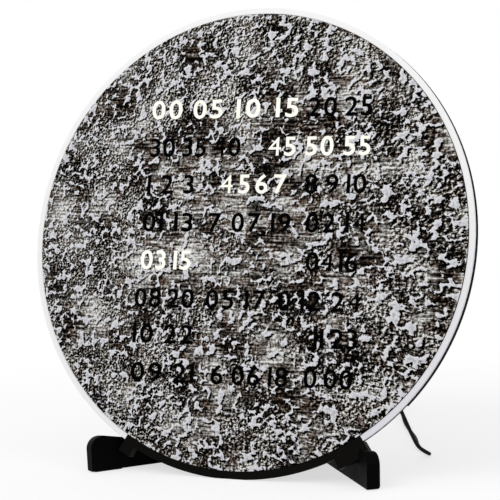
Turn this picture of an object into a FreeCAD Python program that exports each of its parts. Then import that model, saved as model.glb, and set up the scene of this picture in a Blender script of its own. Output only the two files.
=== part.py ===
import FreeCAD, Part

import math
import os

import Sketcher
from FreeCAD import Placement, Rotation, Vector

# Round table clock that lights up numbers through a stone-look front plate.
# Row frame: +Z up, front towards -Y, origin on the table under the middle of the clock's depth.
# Clock frame: X and Y lie in the front face, Z points out of it, and depths are counted back.

SIZES = {
    # face, ring and frame
    "face_radius": 219.0,
    "ring_gap": 0.4,  # radial gap round the face plate
    "ring_width": 5.6,
    "frame_radius": "=face_radius + ring_gap + ring_width",
    # stance
    "lean": 13.0,  # degrees that the clock leans back
    "rim_clearance": 1.7667,  # front edge of the frame above the table, at its lowest point
    "centre_height": "=frame_radius * cos(lean) + rim_clearance",
    # front stack, from the face backwards
    "face_thickness": 3.0,
    "diffuser_thickness": 1.0,
    "diffuser_inset": 2.0,
    "ring_setback": 0.8,  # ring front behind the face front
    "frame_thickness": 3.0,
    # bottom of the ring, angles from straight down, seen from the front
    "chin_left_angle": 30.0,
    "chin_right_angle": 35.0,
    "chin_proud": 1.8,  # radius beyond the frame's
    "chin_radius": "=frame_radius + chin_proud",
    "chin_skin": 1.0,
    "saddle_reach": 12.0,  # radius beyond the frame's
    "saddle_radius": "=frame_radius + saddle_reach",
    "saddle_depth": 10.0,
    "saddle_inner_angle": 26.8,
    "ground_clearance": 0.3,
    "piece_gap": 0.3,
    # number rows behind the face
    "row_top": 117.0,  # baseline of the first row above the face's middle
    "row_pitch": 36.6,
    "digit_height": 18.9,
    "cell_margin": 3.0,
    "grid_width": 242.0,
    "grid_height": 288.0,
    "grid_depth": 14.0,
    "grid_x": 5.0,
    "grid_y": -2.0,
    "board_thickness": 1.6,
    "led_size": 5.0,
    "led_height": 1.6,
    "led_pitch": 16.0,
    # rear housing
    "housing_wall": 3.0,
    "housing_floor": 2.0,
    "housing_clearance": 2.0,
    "housing_depth": 29.0,
    "housing_corner": 14.0,
    "housing_edge": 1.8,
    "flange_width": 10.0,
    "flange_thickness": 2.0,
    "post_radius": 3.2,
    "vent_width": 3.0,
    "vent_low": -70.0,
    "vent_high": -35.0,
    "controller_width": 80.0,
    "controller_height": 50.0,
    "controller_x": -50.0,
    "controller_y": 40.0,
    "controller_post": 6.4,
    # push buttons
    "button_x": 96.0,
    "button_y": 62.0,
    "button_pitch": 22.0,
    "button_radius": 4.0,
    "button_proud": 2.6,
    "button_collar": 5.2,
    "button_collar_thickness": 1.2,
    "button_play": 0.05,
    "button_travel": 1.2,
    "stem_radius": 1.7,
    "stem_grip": 2.0,  # stem length inside the switch when nobody presses
    "switch_size": 7.0,
    "switch_height": 5.0,
    # power inlet
    "jack_x": 112.0,
    "jack_y": -60.0,
    "jack_bore": 2.75,
    "jack_collar": 4.4,
    "jack_width": 11.0,
    "jack_length": 12.0,
    "jack_pin": 1.0,
    # wall hanger
    "hanger_y": 112.0,
    "hanger_width": 64.0,
    "hanger_height": 26.0,
    "hanger_thickness": 1.5,
    "keyhole_radius": 4.5,
    "keyhole_slot": 2.2,
    "keyhole_rise": 8.0,
    # stand
    "toe_spread": 0.61822,  # inner front corner of a leg, as a share of the frame radius
    "toe_x": "=frame_radius * toe_spread",
    "toe_y": 61.0,  # the same corner before the middle of the face
    "splay": 37.2,  # degrees between a leg and straight back
    "leg_length": 150.0,
    "leg_thickness": 13.5,
    "leg_blank_height": 45.0,  # before the top is cut to its slope
    "leg_top_rise": 32.3,  # leg tops above the frame's lowest point, in the clock frame
    "leg_top_drop": "=frame_radius - leg_top_rise",
    "leg_rake": 1.5,
    "leg_toe_radius": 12.0,
    "pad_thickness": 1.0,
    "pad_length": 28.0,
    "pad_width": 7.0,
    "heel_behind": "=leg_length * cos(splay) - toe_y",  # heel behind the middle of the face
    "heel_top": "=centre_height - (leg_top_drop + heel_behind * sin(lean)) / cos(lean)",
    "heel_height": "=heel_top - pad_thickness",
    "leg_edge_share": 0.4124,  # roundings of the leg, as shares of its height at the heel
    "leg_heel_share": 0.4582,
    "leg_edge_radius": "=leg_edge_share * heel_height",
    "leg_heel_radius": "=leg_heel_share * heel_height",
    "leg_screw_front": 0.56,  # leg screws, as shares of the leg's length
    "leg_screw_rear": 0.84,
    "leg_middle_x": "=toe_x + leg_thickness / 2 * cos(splay)",
    "bracket_side_margin": 10.3,  # shelf's corner beside the front leg screw
    "bracket_rear_margin": -4.3,  # shelf's rear corner beside the rear leg screw
    "bracket_half_width": "=leg_middle_x - leg_screw_front * leg_length * sin(splay) + bracket_side_margin",
    "bracket_rear_half": "=leg_middle_x - leg_screw_rear * leg_length * sin(splay) + bracket_rear_margin",
    "bracket_thickness": 2.0,
    "bracket_upright": 26.0,
    "bracket_shoulder": 43.0,
    "bracket_reach": 95.0,
    # fasteners
    "screw_radius": 1.5,
    "screw_head_radius": 2.8,
    "screw_head_height": 1.8,
    "screw_play": 0.1,
    "screw_grip": 8.0,
    # power lead
    "cord_radius": 1.8,
    "plug_turn": 20.0,  # degrees between the angled plug and the clock's downward line
    "plug_radius": 5.0,
    "plug_length": 14.0,
    "plug_boss_radius": 4.2,
    "plug_boss_height": 6.0,
    "barrel_radius": 2.7,
    "barrel_bore": 1.1,
    "barrel_length": 9.5,
    "relief_radius": 3.8,
    "relief_tip_radius": 2.4,
    "relief_length": 16.0,
    "coil_x": 6.0,
    "coil_y": 342.0,
    "coil_inner_turn": 18.5,
    "coil_layers": 4.0,
    "coil_lift": 1.0,
    "tie_thickness": 0.7,
    "tie_angle": 24.0,
    "tie_bearing": 215.0,
    "usb_length": 20.0,
    "usb_width": 15.0,
    "usb_height": 8.0,
    "usb_shell_width": 12.0,
    "usb_shell_height": 4.5,
    "usb_shell_length": 12.0,
    "usb_shell_wall": 0.4,
}

# Left and right edge of each lit number group, row by row, from the middle of the face.
NUMBER_GROUPS = [
    [(-107, -32), (-17, 47), (57, 121)],
    [(-107, -11), (18, 121)],
    [(-107, -58), (-29, 39), (57, 119)],
    [(-110, -56), (-39, 46), (61, 120)],
    [(-109, -55), (63, 114)],
    [(-112, -49), (-37, 25), (37, 119)],
    [(-112, -48), (75, 119)],
    [(-111, -44), (-26, 52), (68, 116)],
]

# The lead's route in the row frame, from just below its plug down to the table and back to its coil.
CORD_ROUTE = [
    (131.2, 12.6, 101.8),
    (146.0, 5.5, 69.0),
    (144.6, 31.0, 48.5),
    (142.2, 61.0, 26.0),
    (143.0, 77.0, 12.0),
    (149.5, 97.0, 2.0),
    (135.0, 116.0, 2.0),
    (122.0, 137.0, 2.0),
    (108.5, 174.0, 2.0),
    (89.0, 213.0, 2.0),
    (69.5, 255.0, 2.0),
    (55.0, 293.0, 2.0),
    (44.5, 319.0, 2.0),
    (35.4, 337.3, 2.4),
    (28.3, 348.2, 2.8),
]
# From the coil to the supply plug.
TAIL_ROUTE = [
    (-8.1, 360.4, 13.6),
    (-20.4, 355.9, 12.6),
    (-37.3, 349.8, 4.3),
    (-49.5, 345.3, 4.3),
]

BUTTON_NAMES = ("hour_button", "minute_button", "brightness_button")

doc = FreeCAD.newDocument("number_clock")
sheet = doc.addObject("Spreadsheet::Sheet", "Sizes")
for row, (alias, content) in enumerate(SIZES.items(), start=1):
    sheet.set(f"A{row}", str(content))
    sheet.setAlias(f"A{row}", alias)
doc.recompute()


def size(alias):
    return float(sheet.get(alias))


# ---------------------------------------------------------------- places worked out from the sizes

LEAN = math.radians(size("lean"))
SPLAY = math.radians(size("splay"))
FRAME_FRONT = size("face_thickness") + size("diffuser_thickness")
FRAME_BACK = FRAME_FRONT + size("frame_thickness")
GRID_BACK = FRAME_FRONT + size("grid_depth")
BOARD_BACK = GRID_BACK + size("board_thickness")
HOUSING_BACK = FRAME_BACK + size("housing_depth")
FLOOR_INSIDE = HOUSING_BACK - size("housing_floor")
HOUSING_HALF_X = size("grid_width") / 2 + size("housing_clearance") + size("housing_wall")
HOUSING_HALF_Y = size("grid_height") / 2 + size("housing_clearance") + size("housing_wall")
SCREW_HOLE = "Sizes.screw_radius + Sizes.screw_play"
OUT = Vector(0, 0, 1)

# The controller board stands on posts of the housing's floor.
CONTROLLER_BACK = FLOOR_INSIDE - size("controller_post")
CONTROLLER_FRONT = CONTROLLER_BACK - size("board_thickness")

# A button's collar sits behind the floor, and its stem reaches into its switch.
COLLAR_BACK = FLOOR_INSIDE - size("piece_gap")
COLLAR_FRONT = COLLAR_BACK - size("button_collar_thickness")
SWITCH_BACK = COLLAR_FRONT - size("button_travel") - size("piece_gap")
STEM_END = SWITCH_BACK - size("stem_grip")
BUTTON_BOARD_BACK = SWITCH_BACK - size("switch_height")
BUTTON_BOARD_FRONT = BUTTON_BOARD_BACK - size("board_thickness")

# The row's origin is halfway between the toes and the housing's top rear edge.
TOE_REACH = size("toe_y") + size("leg_rake") * math.cos(SPLAY)
TOP_EDGE = size("grid_y") + HOUSING_HALF_Y
REAR_REACH = TOP_EDGE * math.sin(LEAN) + HOUSING_BACK * math.cos(LEAN)
CENTRE_Y = (TOE_REACH - REAR_REACH) / 2

CLOCK = Placement(
    Vector(0, CENTRE_Y, size("centre_height")),
    Rotation(Vector(1, 0, 0), 90 - size("lean")),
)
UP = CLOCK.Rotation.multVec(Vector(0, 1, 0))


def clock_point(x, y, depth):
    """A place on the clock, as a point of the row frame."""
    return CLOCK.multVec(Vector(x, y, -depth))


# ---------------------------------------------------------------- modelling helpers


def body(label, placement=CLOCK):
    made = doc.addObject("PartDesign::Body", label)
    made.Label = label
    made.Placement = placement
    return made


def attach_to_body(item, owner, plane="XY_Plane"):
    base = next(f for f in owner.Origin.OriginFeatures if f.Role == plane)
    item.AttachmentSupport = (base, [""])
    item.MapMode = "FlatFace"


def sketch(owner, plane="XY_Plane", offset="0"):
    """A sketch on one of the body's own origin planes, lifted along the plane's normal."""
    made = owner.newObject("Sketcher::SketchObject", owner.Name + "_sketch")
    attach_to_body(made, owner, plane)
    made.setExpression(".AttachmentOffset.Base.z", offset)
    return made


def circle(target, x, y, radius):
    """A circle whose centre and radius are expressions."""
    index = target.addGeometry(Part.Circle(Vector(1, 1, 0), Vector(0, 0, 1), 1.0), False)
    for kind, text in (("DistanceX", x), ("DistanceY", y)):
        number = target.addConstraint(Sketcher.Constraint(kind, index, 3, 1.0))
        target.setExpression(f"Constraints[{number}]", str(text))
    number = target.addConstraint(Sketcher.Constraint("Radius", index, 1.0))
    target.setExpression(f"Constraints[{number}]", radius)


def polygon(target, corners):
    """A closed outline whose corners are pairs of expressions."""
    count = len(corners)
    first = target.GeometryCount
    ring = [
        Vector(3 * math.cos(2 * math.pi * k / count), 3 * math.sin(2 * math.pi * k / count), 0)
        for k in range(count)
    ]
    for k in range(count):
        target.addGeometry(Part.LineSegment(ring[k], ring[(k + 1) % count]), False)
    for k in range(count):
        joined = first + (k + 1) % count
        target.addConstraint(Sketcher.Constraint("Coincident", first + k, 2, joined, 1))
    for k, (x, y) in enumerate(corners):
        for kind, text in (("DistanceX", x), ("DistanceY", y)):
            number = target.addConstraint(Sketcher.Constraint(kind, first + k, 1, 1.0))
            target.setExpression(f"Constraints[{number}]", str(text))


def rectangle(target, left, low, right, high):
    polygon(target, [(left, low), (right, low), (right, high), (left, high)])


def centred_rectangle(target, x, y, width, height):
    rectangle(
        target,
        f"{x} - ({width}) / 2",
        f"{y} - ({height}) / 2",
        f"{x} + ({width}) / 2",
        f"{y} + ({height}) / 2",
    )


def pad(owner, profile, length, backwards=True):
    made = owner.newObject("PartDesign::Pad", owner.Name + "_pad")
    made.Profile = profile
    made.Reversed = backwards
    made.setExpression("Length", str(length))
    doc.recompute()
    return made


def pocket(owner, profile, length, backwards=False):
    """A pocket that must take material away."""
    before = owner.Shape.Volume
    made = owner.newObject("PartDesign::Pocket", owner.Name + "_pocket")
    made.Profile = profile
    made.Reversed = backwards
    made.setExpression("Length", str(length))
    doc.recompute()
    if owner.Shape.Volume > before - 1e-6:
        raise RuntimeError(f"{owner.Label}: a pocket cuts nothing")
    return made


def round_edges(owner, wanted, radius):
    """A fillet on the edges for which wanted(edge) is true."""
    tip = owner.Tip
    names = [f"Edge{k}" for k, edge in enumerate(tip.Shape.Edges, start=1) if wanted(edge)]
    made = owner.newObject("PartDesign::Fillet", owner.Name + "_fillet")
    made.Base = (tip, names)
    made.setExpression("Radius", radius)
    doc.recompute()
    return made


def at_level(level):
    """A test for edges that lie flat at one height of the body's own Z."""
    return lambda edge: abs(edge.BoundBox.ZMin - level) + abs(edge.BoundBox.ZMax - level) < 1e-4


def feature(label, shape, placement=None):
    """A sub-part whose shape is made with Part's own functions."""
    made = doc.addObject("Part::Feature", label)
    made.Label = label
    made.Shape = shape
    if placement is not None:
        made.Placement = placement
    return made


def group(label, shapes, placement=None):
    """Like pieces that share one node as separate solids."""
    return feature(label, Part.makeCompound(shapes), placement)


def box(low, high):
    """A box between two opposite corners."""
    return Part.makeBox(high[0] - low[0], high[1] - low[1], high[2] - low[2], Vector(*low))


def sector(inner, outer, front, back, start, sweep):
    """Part of a flat ring in the clock frame, from the angle start, counted from +X."""
    disc = Part.makeCylinder(outer, back - front, Vector(0, 0, -back), OUT, sweep)
    disc.rotate(Vector(), OUT, start)
    return disc.cut(Part.makeCylinder(inner, back - front, Vector(0, 0, -back)))


def revolved(points, sweep=360):
    """A solid turned about Z from a closed outline of (radius, height) points."""
    outline = Part.makePolygon([Vector(x, 0, z) for x, z in points + points[:1]])
    return Part.Face(outline).revolve(Vector(), OUT, sweep)


def pan_screw(place, direction, length):
    """A screw with a domed head: the head sits at place and the shank runs along direction."""
    radius = size("screw_radius")
    head = size("screw_head_radius")
    height = size("screw_head_height")
    made = revolved(
        [
            (0, length),
            (radius, length),
            (radius, 0),
            (head, 0),
            (head, -0.45 * height),
            (0.75 * head, -0.88 * height),
            (0.35 * head, -height),
            (0, -height),
        ]
    )
    made.Placement = Placement(place, Rotation(OUT, direction))
    return made


def rear_screws(places, head_depth, length):
    """Screws driven forwards into the clock, with their heads at one depth."""
    return [pan_screw(Vector(x, y, -head_depth), OUT, length) for x, y in places]


# ---------------------------------------------------------------- front stack


def make_face_plate():
    made = body("face_plate")
    outline = sketch(made)
    circle(outline, "0", "0", "Sizes.face_radius")
    pad(made, outline, "Sizes.face_thickness")


def make_diffuser_sheet():
    made = body("diffuser_sheet")
    outline = sketch(made, offset="-Sizes.face_thickness")
    circle(outline, "0", "0", "Sizes.face_radius - Sizes.diffuser_inset")
    pad(made, outline, "Sizes.diffuser_thickness")


def make_glow_ring():
    """The white ring is open at the bottom, where the chin fills its place."""
    sweep = 360 - size("chin_left_angle") - size("chin_right_angle")
    ring = sector(
        size("face_radius") + size("ring_gap"),
        size("frame_radius"),
        size("ring_setback"),
        FRAME_FRONT,
        size("chin_right_angle") - 90,
        sweep,
    )
    feature("glow_ring", ring, CLOCK)


def flange_screw_places():
    """Screws of the housing's flange, two along each side."""
    half_x = HOUSING_HALF_X + size("flange_width") / 2
    half_y = HOUSING_HALF_Y + size("flange_width") / 2
    places = [(sx * half_x * 0.8, sy * half_y) for sx in (-1, 1) for sy in (-1, 1)]
    places += [(sx * half_x, sy * half_y * 0.5) for sx in (-1, 1) for sy in (-1, 1)]
    return [(size("grid_x") + x, size("grid_y") + y) for x, y in places]


def bracket_screw_places():
    level = size("bracket_upright") / 2 - size("leg_top_drop")
    half = size("bracket_half_width")
    return [(side * half * share, level) for side in (-1, 1) for share in (0.36, 0.8)]


def chin_screw_places():
    radius = size("face_radius") + size("screw_head_radius") + size("piece_gap")
    angles = [math.radians(a) for a in (-22, -11, 11, 22)]
    return [(radius * math.sin(a), -radius * math.cos(a)) for a in angles]


def make_back_frame():
    """Disc behind the face, with a window for the light grid and its screw holes."""
    made = body("back_frame")
    front = "-(Sizes.face_thickness + Sizes.diffuser_thickness)"
    outline = sketch(made, offset=front)
    circle(outline, "0", "0", "Sizes.frame_radius")
    centred_rectangle(
        outline,
        "Sizes.grid_x",
        "Sizes.grid_y",
        "Sizes.grid_width + 2 * Sizes.piece_gap",
        "Sizes.grid_height + 2 * Sizes.piece_gap",
    )
    pad(made, outline, "Sizes.frame_thickness")
    holes = sketch(made, offset=front)
    for x, y in flange_screw_places() + bracket_screw_places() + chin_screw_places():
        circle(holes, x, y, SCREW_HOLE)
    pocket(made, holes, "Sizes.frame_thickness")


def grid_outline(made, depth):
    outline = sketch(made, offset=f"-({depth})")
    centred_rectangle(
        outline, "Sizes.grid_x", "Sizes.grid_y", "Sizes.grid_width", "Sizes.grid_height"
    )
    return outline


def make_light_grid():
    """Black block with one cell for each number group, so that light doesn't cross over."""
    made = body("light_grid")
    front = "Sizes.face_thickness + Sizes.diffuser_thickness"
    pad(made, grid_outline(made, front), "Sizes.grid_depth")
    cells = sketch(made, offset=f"-({front})")
    for row, groups in enumerate(NUMBER_GROUPS):
        level = f"Sizes.row_top - {row} * Sizes.row_pitch"
        for left, right in groups:
            rectangle(
                cells,
                f"{left} - Sizes.cell_margin",
                f"{level} - Sizes.cell_margin",
                f"{right} + Sizes.cell_margin",
                f"{level} + Sizes.digit_height + Sizes.cell_margin",
            )
    pocket(made, cells, "Sizes.grid_depth")


# ---------------------------------------------------------------- light board and electronics


def spacer_places():
    """Spacers between the light board and the housing's floor."""
    half_x = size("grid_width") / 2 - 5
    half_y = size("grid_height") / 2 - 5
    places = [(sx * half_x, sy * half_y) for sx in (-1, 1) for sy in (-1, 0, 1)]
    return [(size("grid_x") + x, size("grid_y") + y) for x, y in places]


def make_led_board():
    made = body("led_board")
    front = "Sizes.face_thickness + Sizes.diffuser_thickness + Sizes.grid_depth"
    pad(made, grid_outline(made, front), "Sizes.board_thickness")
    holes = sketch(made, offset=f"-({front})")
    for x, y in spacer_places():
        circle(holes, x, y, SCREW_HOLE)
    pocket(made, holes, "Sizes.board_thickness")


def make_leds():
    """Square lamps on the board, in a row down the middle of each cell."""
    half = size("led_size") / 2
    lamps = []
    for row, groups in enumerate(NUMBER_GROUPS):
        y = size("row_top") - row * size("row_pitch") + size("digit_height") / 2
        for left, right in groups:
            count = round((right - left) / size("led_pitch"))
            for k in range(count):
                x = left + (k + 0.5) * (right - left) / count
                low = (x - half, y - half, -GRID_BACK)
                high = (x + half, y + half, size("led_height") - GRID_BACK)
                lamps.append(box(low, high))
    group("leds", lamps, CLOCK)


def make_board_spacers():
    """Bored spacers, each with a pin that locates the board."""
    length = FLOOR_INSIDE - BOARD_BACK
    bore = size("screw_radius") + size("screw_play")
    depth = size("screw_grip")
    pin_end = length + size("board_thickness")
    outline = [
        (bore, 0),
        (size("post_radius"), 0),
        (size("post_radius"), length),
        (size("screw_radius"), length),
        (size("screw_radius"), pin_end),
        (0, pin_end),
        (0, depth),
        (bore, depth),
    ]
    spacers = []
    for x, y in spacer_places():
        spacer = revolved(outline)
        spacer.translate(Vector(x, y, -FLOOR_INSIDE))
        spacers.append(spacer)
    group("board_spacers", spacers, CLOCK)


def controller_posts():
    half_x = size("controller_width") / 2 - 5
    half_y = size("controller_height") / 2 - 5
    places = [(sx * half_x, sy * half_y) for sx in (-1, 1) for sy in (-1, 1)]
    return [(size("controller_x") + x, size("controller_y") + y) for x, y in places]


def make_controller_board():
    made = body("controller_board")
    outline = sketch(made, offset=str(-CONTROLLER_FRONT))
    centred_rectangle(
        outline,
        "Sizes.controller_x",
        "Sizes.controller_y",
        "Sizes.controller_width",
        "Sizes.controller_height",
    )
    for x, y in controller_posts():
        circle(outline, x, y, SCREW_HOLE)
    pad(made, outline, "Sizes.board_thickness")


def make_controller_parts():
    """Chip, capacitor, cell holder and coin cell on the front of the controller board."""
    x, y = size("controller_x"), size("controller_y")
    top = -CONTROLLER_FRONT
    chip_half, chip_height, chip_offset = 8.0, 1.6, -20.0
    chip_x = x + chip_offset
    low = (chip_x - chip_half, y - chip_half, top)
    high = (chip_x + chip_half, y + chip_half, top + chip_height)
    feature("controller_chip", box(low, high), CLOCK)

    can_radius, can_length, can_offset, can_rise = 2.4, 11.0, -22.0, 15.0
    can_start = Vector(x + can_offset, y + can_rise, top + can_radius)
    can = Part.makeCylinder(can_radius, can_length, can_start, Vector(1, 0, 0))
    feature("capacitor", can, CLOCK)

    cell_radius, cell_height, cell_play, cell_offset = 10.0, 3.2, 0.1, 16.0
    wall, base, thumb_half = 1.2, 0.8, 5.0
    middle = Vector(x + cell_offset, y, top)
    rim = cell_radius + wall
    holder = Part.makeCylinder(rim, base + cell_height, middle)
    well = Part.makeCylinder(cell_radius + cell_play, cell_height, middle + Vector(0, 0, base))
    thumb = box((-thumb_half, 0, base), (thumb_half, rim, base + cell_height))
    thumb.translate(middle)
    feature("cell_holder", holder.cut(well).cut(thumb), CLOCK)
    cell = Part.makeCylinder(cell_radius, cell_height, middle + Vector(0, 0, base))
    feature("coin_cell", cell, CLOCK)


# ---------------------------------------------------------------- buttons


def button_level(k):
    """Height of a button's middle, as an expression."""
    return f"Sizes.button_y - {k} * Sizes.button_pitch"


def button_height(k):
    return size("button_y") - k * size("button_pitch")


def make_buttons():
    """Round caps through the housing's floor: a collar keeps each in, a stem works its switch."""
    stem_length = COLLAR_FRONT - STEM_END
    for k, label in enumerate(BUTTON_NAMES):
        made = body(label)
        collar = sketch(made, offset=str(-COLLAR_FRONT))
        circle(collar, "Sizes.button_x", button_level(k), "Sizes.button_collar")
        pad(made, collar, "Sizes.button_collar_thickness")
        cap = sketch(made, offset=str(-COLLAR_BACK))
        circle(cap, "Sizes.button_x", button_level(k), "Sizes.button_radius")
        pad(made, cap, "Sizes.piece_gap + Sizes.housing_floor + Sizes.button_proud")
        cap_end = -(HOUSING_BACK + size("button_proud"))
        round_edges(made, at_level(cap_end), "Sizes.button_proud / 4")
        stem = sketch(made, offset=str(-COLLAR_FRONT))
        circle(stem, "Sizes.button_x", button_level(k), "Sizes.stem_radius")
        pad(made, stem, stem_length, backwards=False)


def button_post_places():
    x = size("button_x")
    reach = 14.0
    return [(x, button_height(0) + reach), (x, button_height(len(BUTTON_NAMES) - 1) - reach)]


def make_button_board():
    made = body("button_board")
    outline = sketch(made, offset=str(-BUTTON_BOARD_FRONT))
    high, low = (y for _, y in button_post_places())
    half_width, edge = 9.0, 5.0
    x = size("button_x")
    rectangle(outline, x - half_width, low - edge, x + half_width, high + edge)
    for place_x, place_y in button_post_places():
        circle(outline, place_x, place_y, SCREW_HOLE)
    pad(made, outline, "Sizes.board_thickness")


def make_push_switches():
    """One switch for each button, with a bore for the button's stem."""
    half = size("switch_size") / 2
    bore = size("stem_radius") + size("screw_play")
    depth = size("stem_grip") + size("button_travel") + size("piece_gap")
    switches = []
    for k in range(len(BUTTON_NAMES)):
        x, y = size("button_x"), button_height(k)
        low = (x - half, y - half, -SWITCH_BACK)
        high = (x + half, y + half, -BUTTON_BOARD_BACK)
        hole = Part.makeCylinder(bore, depth, Vector(x, y, -SWITCH_BACK))
        switches.append(box(low, high).cut(hole))
    group("push_switches", switches, CLOCK)


def make_board_screws():
    """Screws that hold the two small boards to the housing's posts."""
    grip = size("screw_grip") - size("piece_gap")
    back = Vector(0, 0, -1)
    screws = [
        pan_screw(Vector(x, y, -CONTROLLER_FRONT), back, grip) for x, y in controller_posts()
    ]
    screws += [
        pan_screw(Vector(x, y, -BUTTON_BOARD_FRONT), back, grip) for x, y in button_post_places()
    ]
    group("board_screws", screws, CLOCK)


# ---------------------------------------------------------------- rear housing


def hanger_screw_places():
    reach = size("hanger_width") / 2 - 7
    return [(size("grid_x") + side * reach, size("hanger_y")) for side in (-1, 1)]


def make_rear_housing():
    """Shallow pan with a screwed flange, posts for the small boards, and its openings."""
    made = body("rear_housing")
    front = str(-FRAME_BACK)
    width = "Sizes.grid_width + 2 * Sizes.housing_clearance + 2 * Sizes.housing_wall"
    height = "Sizes.grid_height + 2 * Sizes.housing_clearance + 2 * Sizes.housing_wall"

    shell = sketch(made, offset=front)
    centred_rectangle(shell, "Sizes.grid_x", "Sizes.grid_y", width, height)
    pad(made, shell, "Sizes.housing_depth")
    round_edges(
        made,
        lambda edge: edge.BoundBox.ZLength > size("housing_depth") - 1e-4,
        "Sizes.housing_corner",
    )
    round_edges(made, at_level(-HOUSING_BACK), "Sizes.housing_edge")

    flange = sketch(made, offset=front)
    centred_rectangle(
        flange,
        "Sizes.grid_x",
        "Sizes.grid_y",
        f"{width} + 2 * Sizes.flange_width",
        f"{height} + 2 * Sizes.flange_width",
    )
    pad(made, flange, "Sizes.flange_thickness")
    cavity = sketch(made, offset=front)
    centred_rectangle(
        cavity,
        "Sizes.grid_x",
        "Sizes.grid_y",
        f"{width} - 2 * Sizes.housing_wall",
        f"{height} - 2 * Sizes.housing_wall",
    )
    pocket(made, cavity, "Sizes.housing_depth - Sizes.housing_floor")

    for places, level in (
        (controller_posts(), CONTROLLER_BACK),
        (button_post_places(), BUTTON_BOARD_BACK),
    ):
        posts = sketch(made, offset=str(-level))
        bores = sketch(made, offset=str(-level))
        for x, y in places:
            circle(posts, x, y, "Sizes.post_radius")
            circle(bores, x, y, SCREW_HOLE)
        pad(made, posts, FLOOR_INSIDE - level)
        pocket(made, bores, "Sizes.screw_grip - Sizes.board_thickness")

    flange_holes = sketch(made, offset=front)
    for x, y in flange_screw_places():
        circle(flange_holes, x, y, SCREW_HOLE)
    pocket(made, flange_holes, "Sizes.flange_thickness")

    openings = sketch(made, offset=str(-FLOOR_INSIDE))
    for k in range(len(BUTTON_NAMES)):
        level = button_level(k)
        circle(openings, "Sizes.button_x", level, "Sizes.button_radius + Sizes.button_play")
    circle(openings, "Sizes.jack_x", "Sizes.jack_y", "Sizes.jack_collar + Sizes.screw_play")
    for x, y in spacer_places() + hanger_screw_places():
        circle(openings, x, y, SCREW_HOLE)
    rectangle(
        openings,
        "Sizes.grid_x - 1.5 * Sizes.keyhole_radius",
        "Sizes.hanger_y - 1.5 * Sizes.keyhole_radius",
        "Sizes.grid_x + 1.5 * Sizes.keyhole_radius",
        "Sizes.hanger_y + Sizes.keyhole_rise + Sizes.keyhole_slot",
    )
    for k in (-3, -2, -1, 0, 1, 2, 3):
        middle = f"Sizes.grid_x + {k} * 3 * Sizes.vent_width"
        rectangle(
            openings,
            f"{middle} - Sizes.vent_width / 2",
            "Sizes.vent_low",
            f"{middle} + Sizes.vent_width / 2",
            "Sizes.vent_high",
        )
    pocket(made, openings, "Sizes.housing_floor")


def make_housing_screws():
    """Screws of the flange and of the spacers."""
    flange_back = FRAME_BACK + size("flange_thickness")
    reach = flange_back - FRAME_FRONT - size("piece_gap")
    group("flange_screws", rear_screws(flange_screw_places(), flange_back, reach), CLOCK)
    grip = size("housing_floor") + size("screw_grip") - 1
    group("spacer_screws", rear_screws(spacer_places(), HOUSING_BACK, grip), CLOCK)


def make_dc_jack():
    """Barrel inlet: a block inside the housing whose collar fills the hole in the floor."""
    made = body("dc_jack")
    x, y = "Sizes.jack_x", "Sizes.jack_y"
    block = sketch(made, offset=str(-FLOOR_INSIDE))
    centred_rectangle(block, x, y, "Sizes.jack_width", "Sizes.jack_width")
    pad(made, block, "Sizes.jack_length", backwards=False)
    collar = sketch(made, offset=str(-FLOOR_INSIDE))
    circle(collar, x, y, "Sizes.jack_collar")
    pad(made, collar, "Sizes.housing_floor")
    bore = sketch(made, offset=str(-HOUSING_BACK))
    circle(bore, x, y, "Sizes.jack_bore")
    circle(bore, x, y, "Sizes.jack_pin")
    pocket(made, bore, "Sizes.jack_length", backwards=True)
    shorten = sketch(made, offset=str(-HOUSING_BACK))
    circle(shorten, x, y, "Sizes.jack_bore - 1")
    pocket(made, shorten, "Sizes.housing_floor", backwards=True)


def make_hanger():
    """Steel plate with a keyhole, screwed over an opening in the housing's floor."""
    made = body("hanger_plate")
    plate = sketch(made, offset=str(-HOUSING_BACK))
    x, y = "Sizes.grid_x", "Sizes.hanger_y"
    centred_rectangle(plate, x, y, "Sizes.hanger_width", "Sizes.hanger_height")
    pad(made, plate, "Sizes.hanger_thickness")
    entry = sketch(made, offset=str(-HOUSING_BACK))
    circle(entry, x, y, "Sizes.keyhole_radius")
    for hole_x, hole_y in hanger_screw_places():
        circle(entry, hole_x, hole_y, SCREW_HOLE)
    pocket(made, entry, "Sizes.hanger_thickness")
    slot = sketch(made, offset=str(-HOUSING_BACK))
    rectangle(
        slot,
        f"{x} - Sizes.keyhole_slot",
        y,
        f"{x} + Sizes.keyhole_slot",
        f"{y} + Sizes.keyhole_rise",
    )
    pocket(made, slot, "Sizes.hanger_thickness")
    back = HOUSING_BACK + size("hanger_thickness")
    reach = size("hanger_thickness") + size("housing_floor")
    group("hanger_screws", rear_screws(hanger_screw_places(), back, reach), CLOCK)


# ---------------------------------------------------------------- stand


def leg_top(back):
    """Height of the legs' tops above the table, at a distance behind the middle of the face."""
    drop = (size("leg_top_drop") + back * math.sin(LEAN)) / math.cos(LEAN)
    return size("centre_height") - drop


def leg_placement(side):
    """The leg's own frame: X runs back along the leg, Y across it, Z up."""
    toe = Vector(side * size("toe_x"), CENTRE_Y - size("toe_y"), 0)
    return Placement(toe, Rotation(OUT, 90 + side * size("splay")))


def leg_screw_places(side):
    """Points on the middle line of a leg's top, where the bracket is screwed down."""
    places = []
    for share in (size("leg_screw_front"), size("leg_screw_rear")):
        local = Vector(share * size("leg_length"), -side * size("leg_thickness") / 2, 0)
        place = leg_placement(side).multVec(local)
        places.append(place + OUT * leg_top(place.y - CENTRE_Y))
    return places


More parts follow.
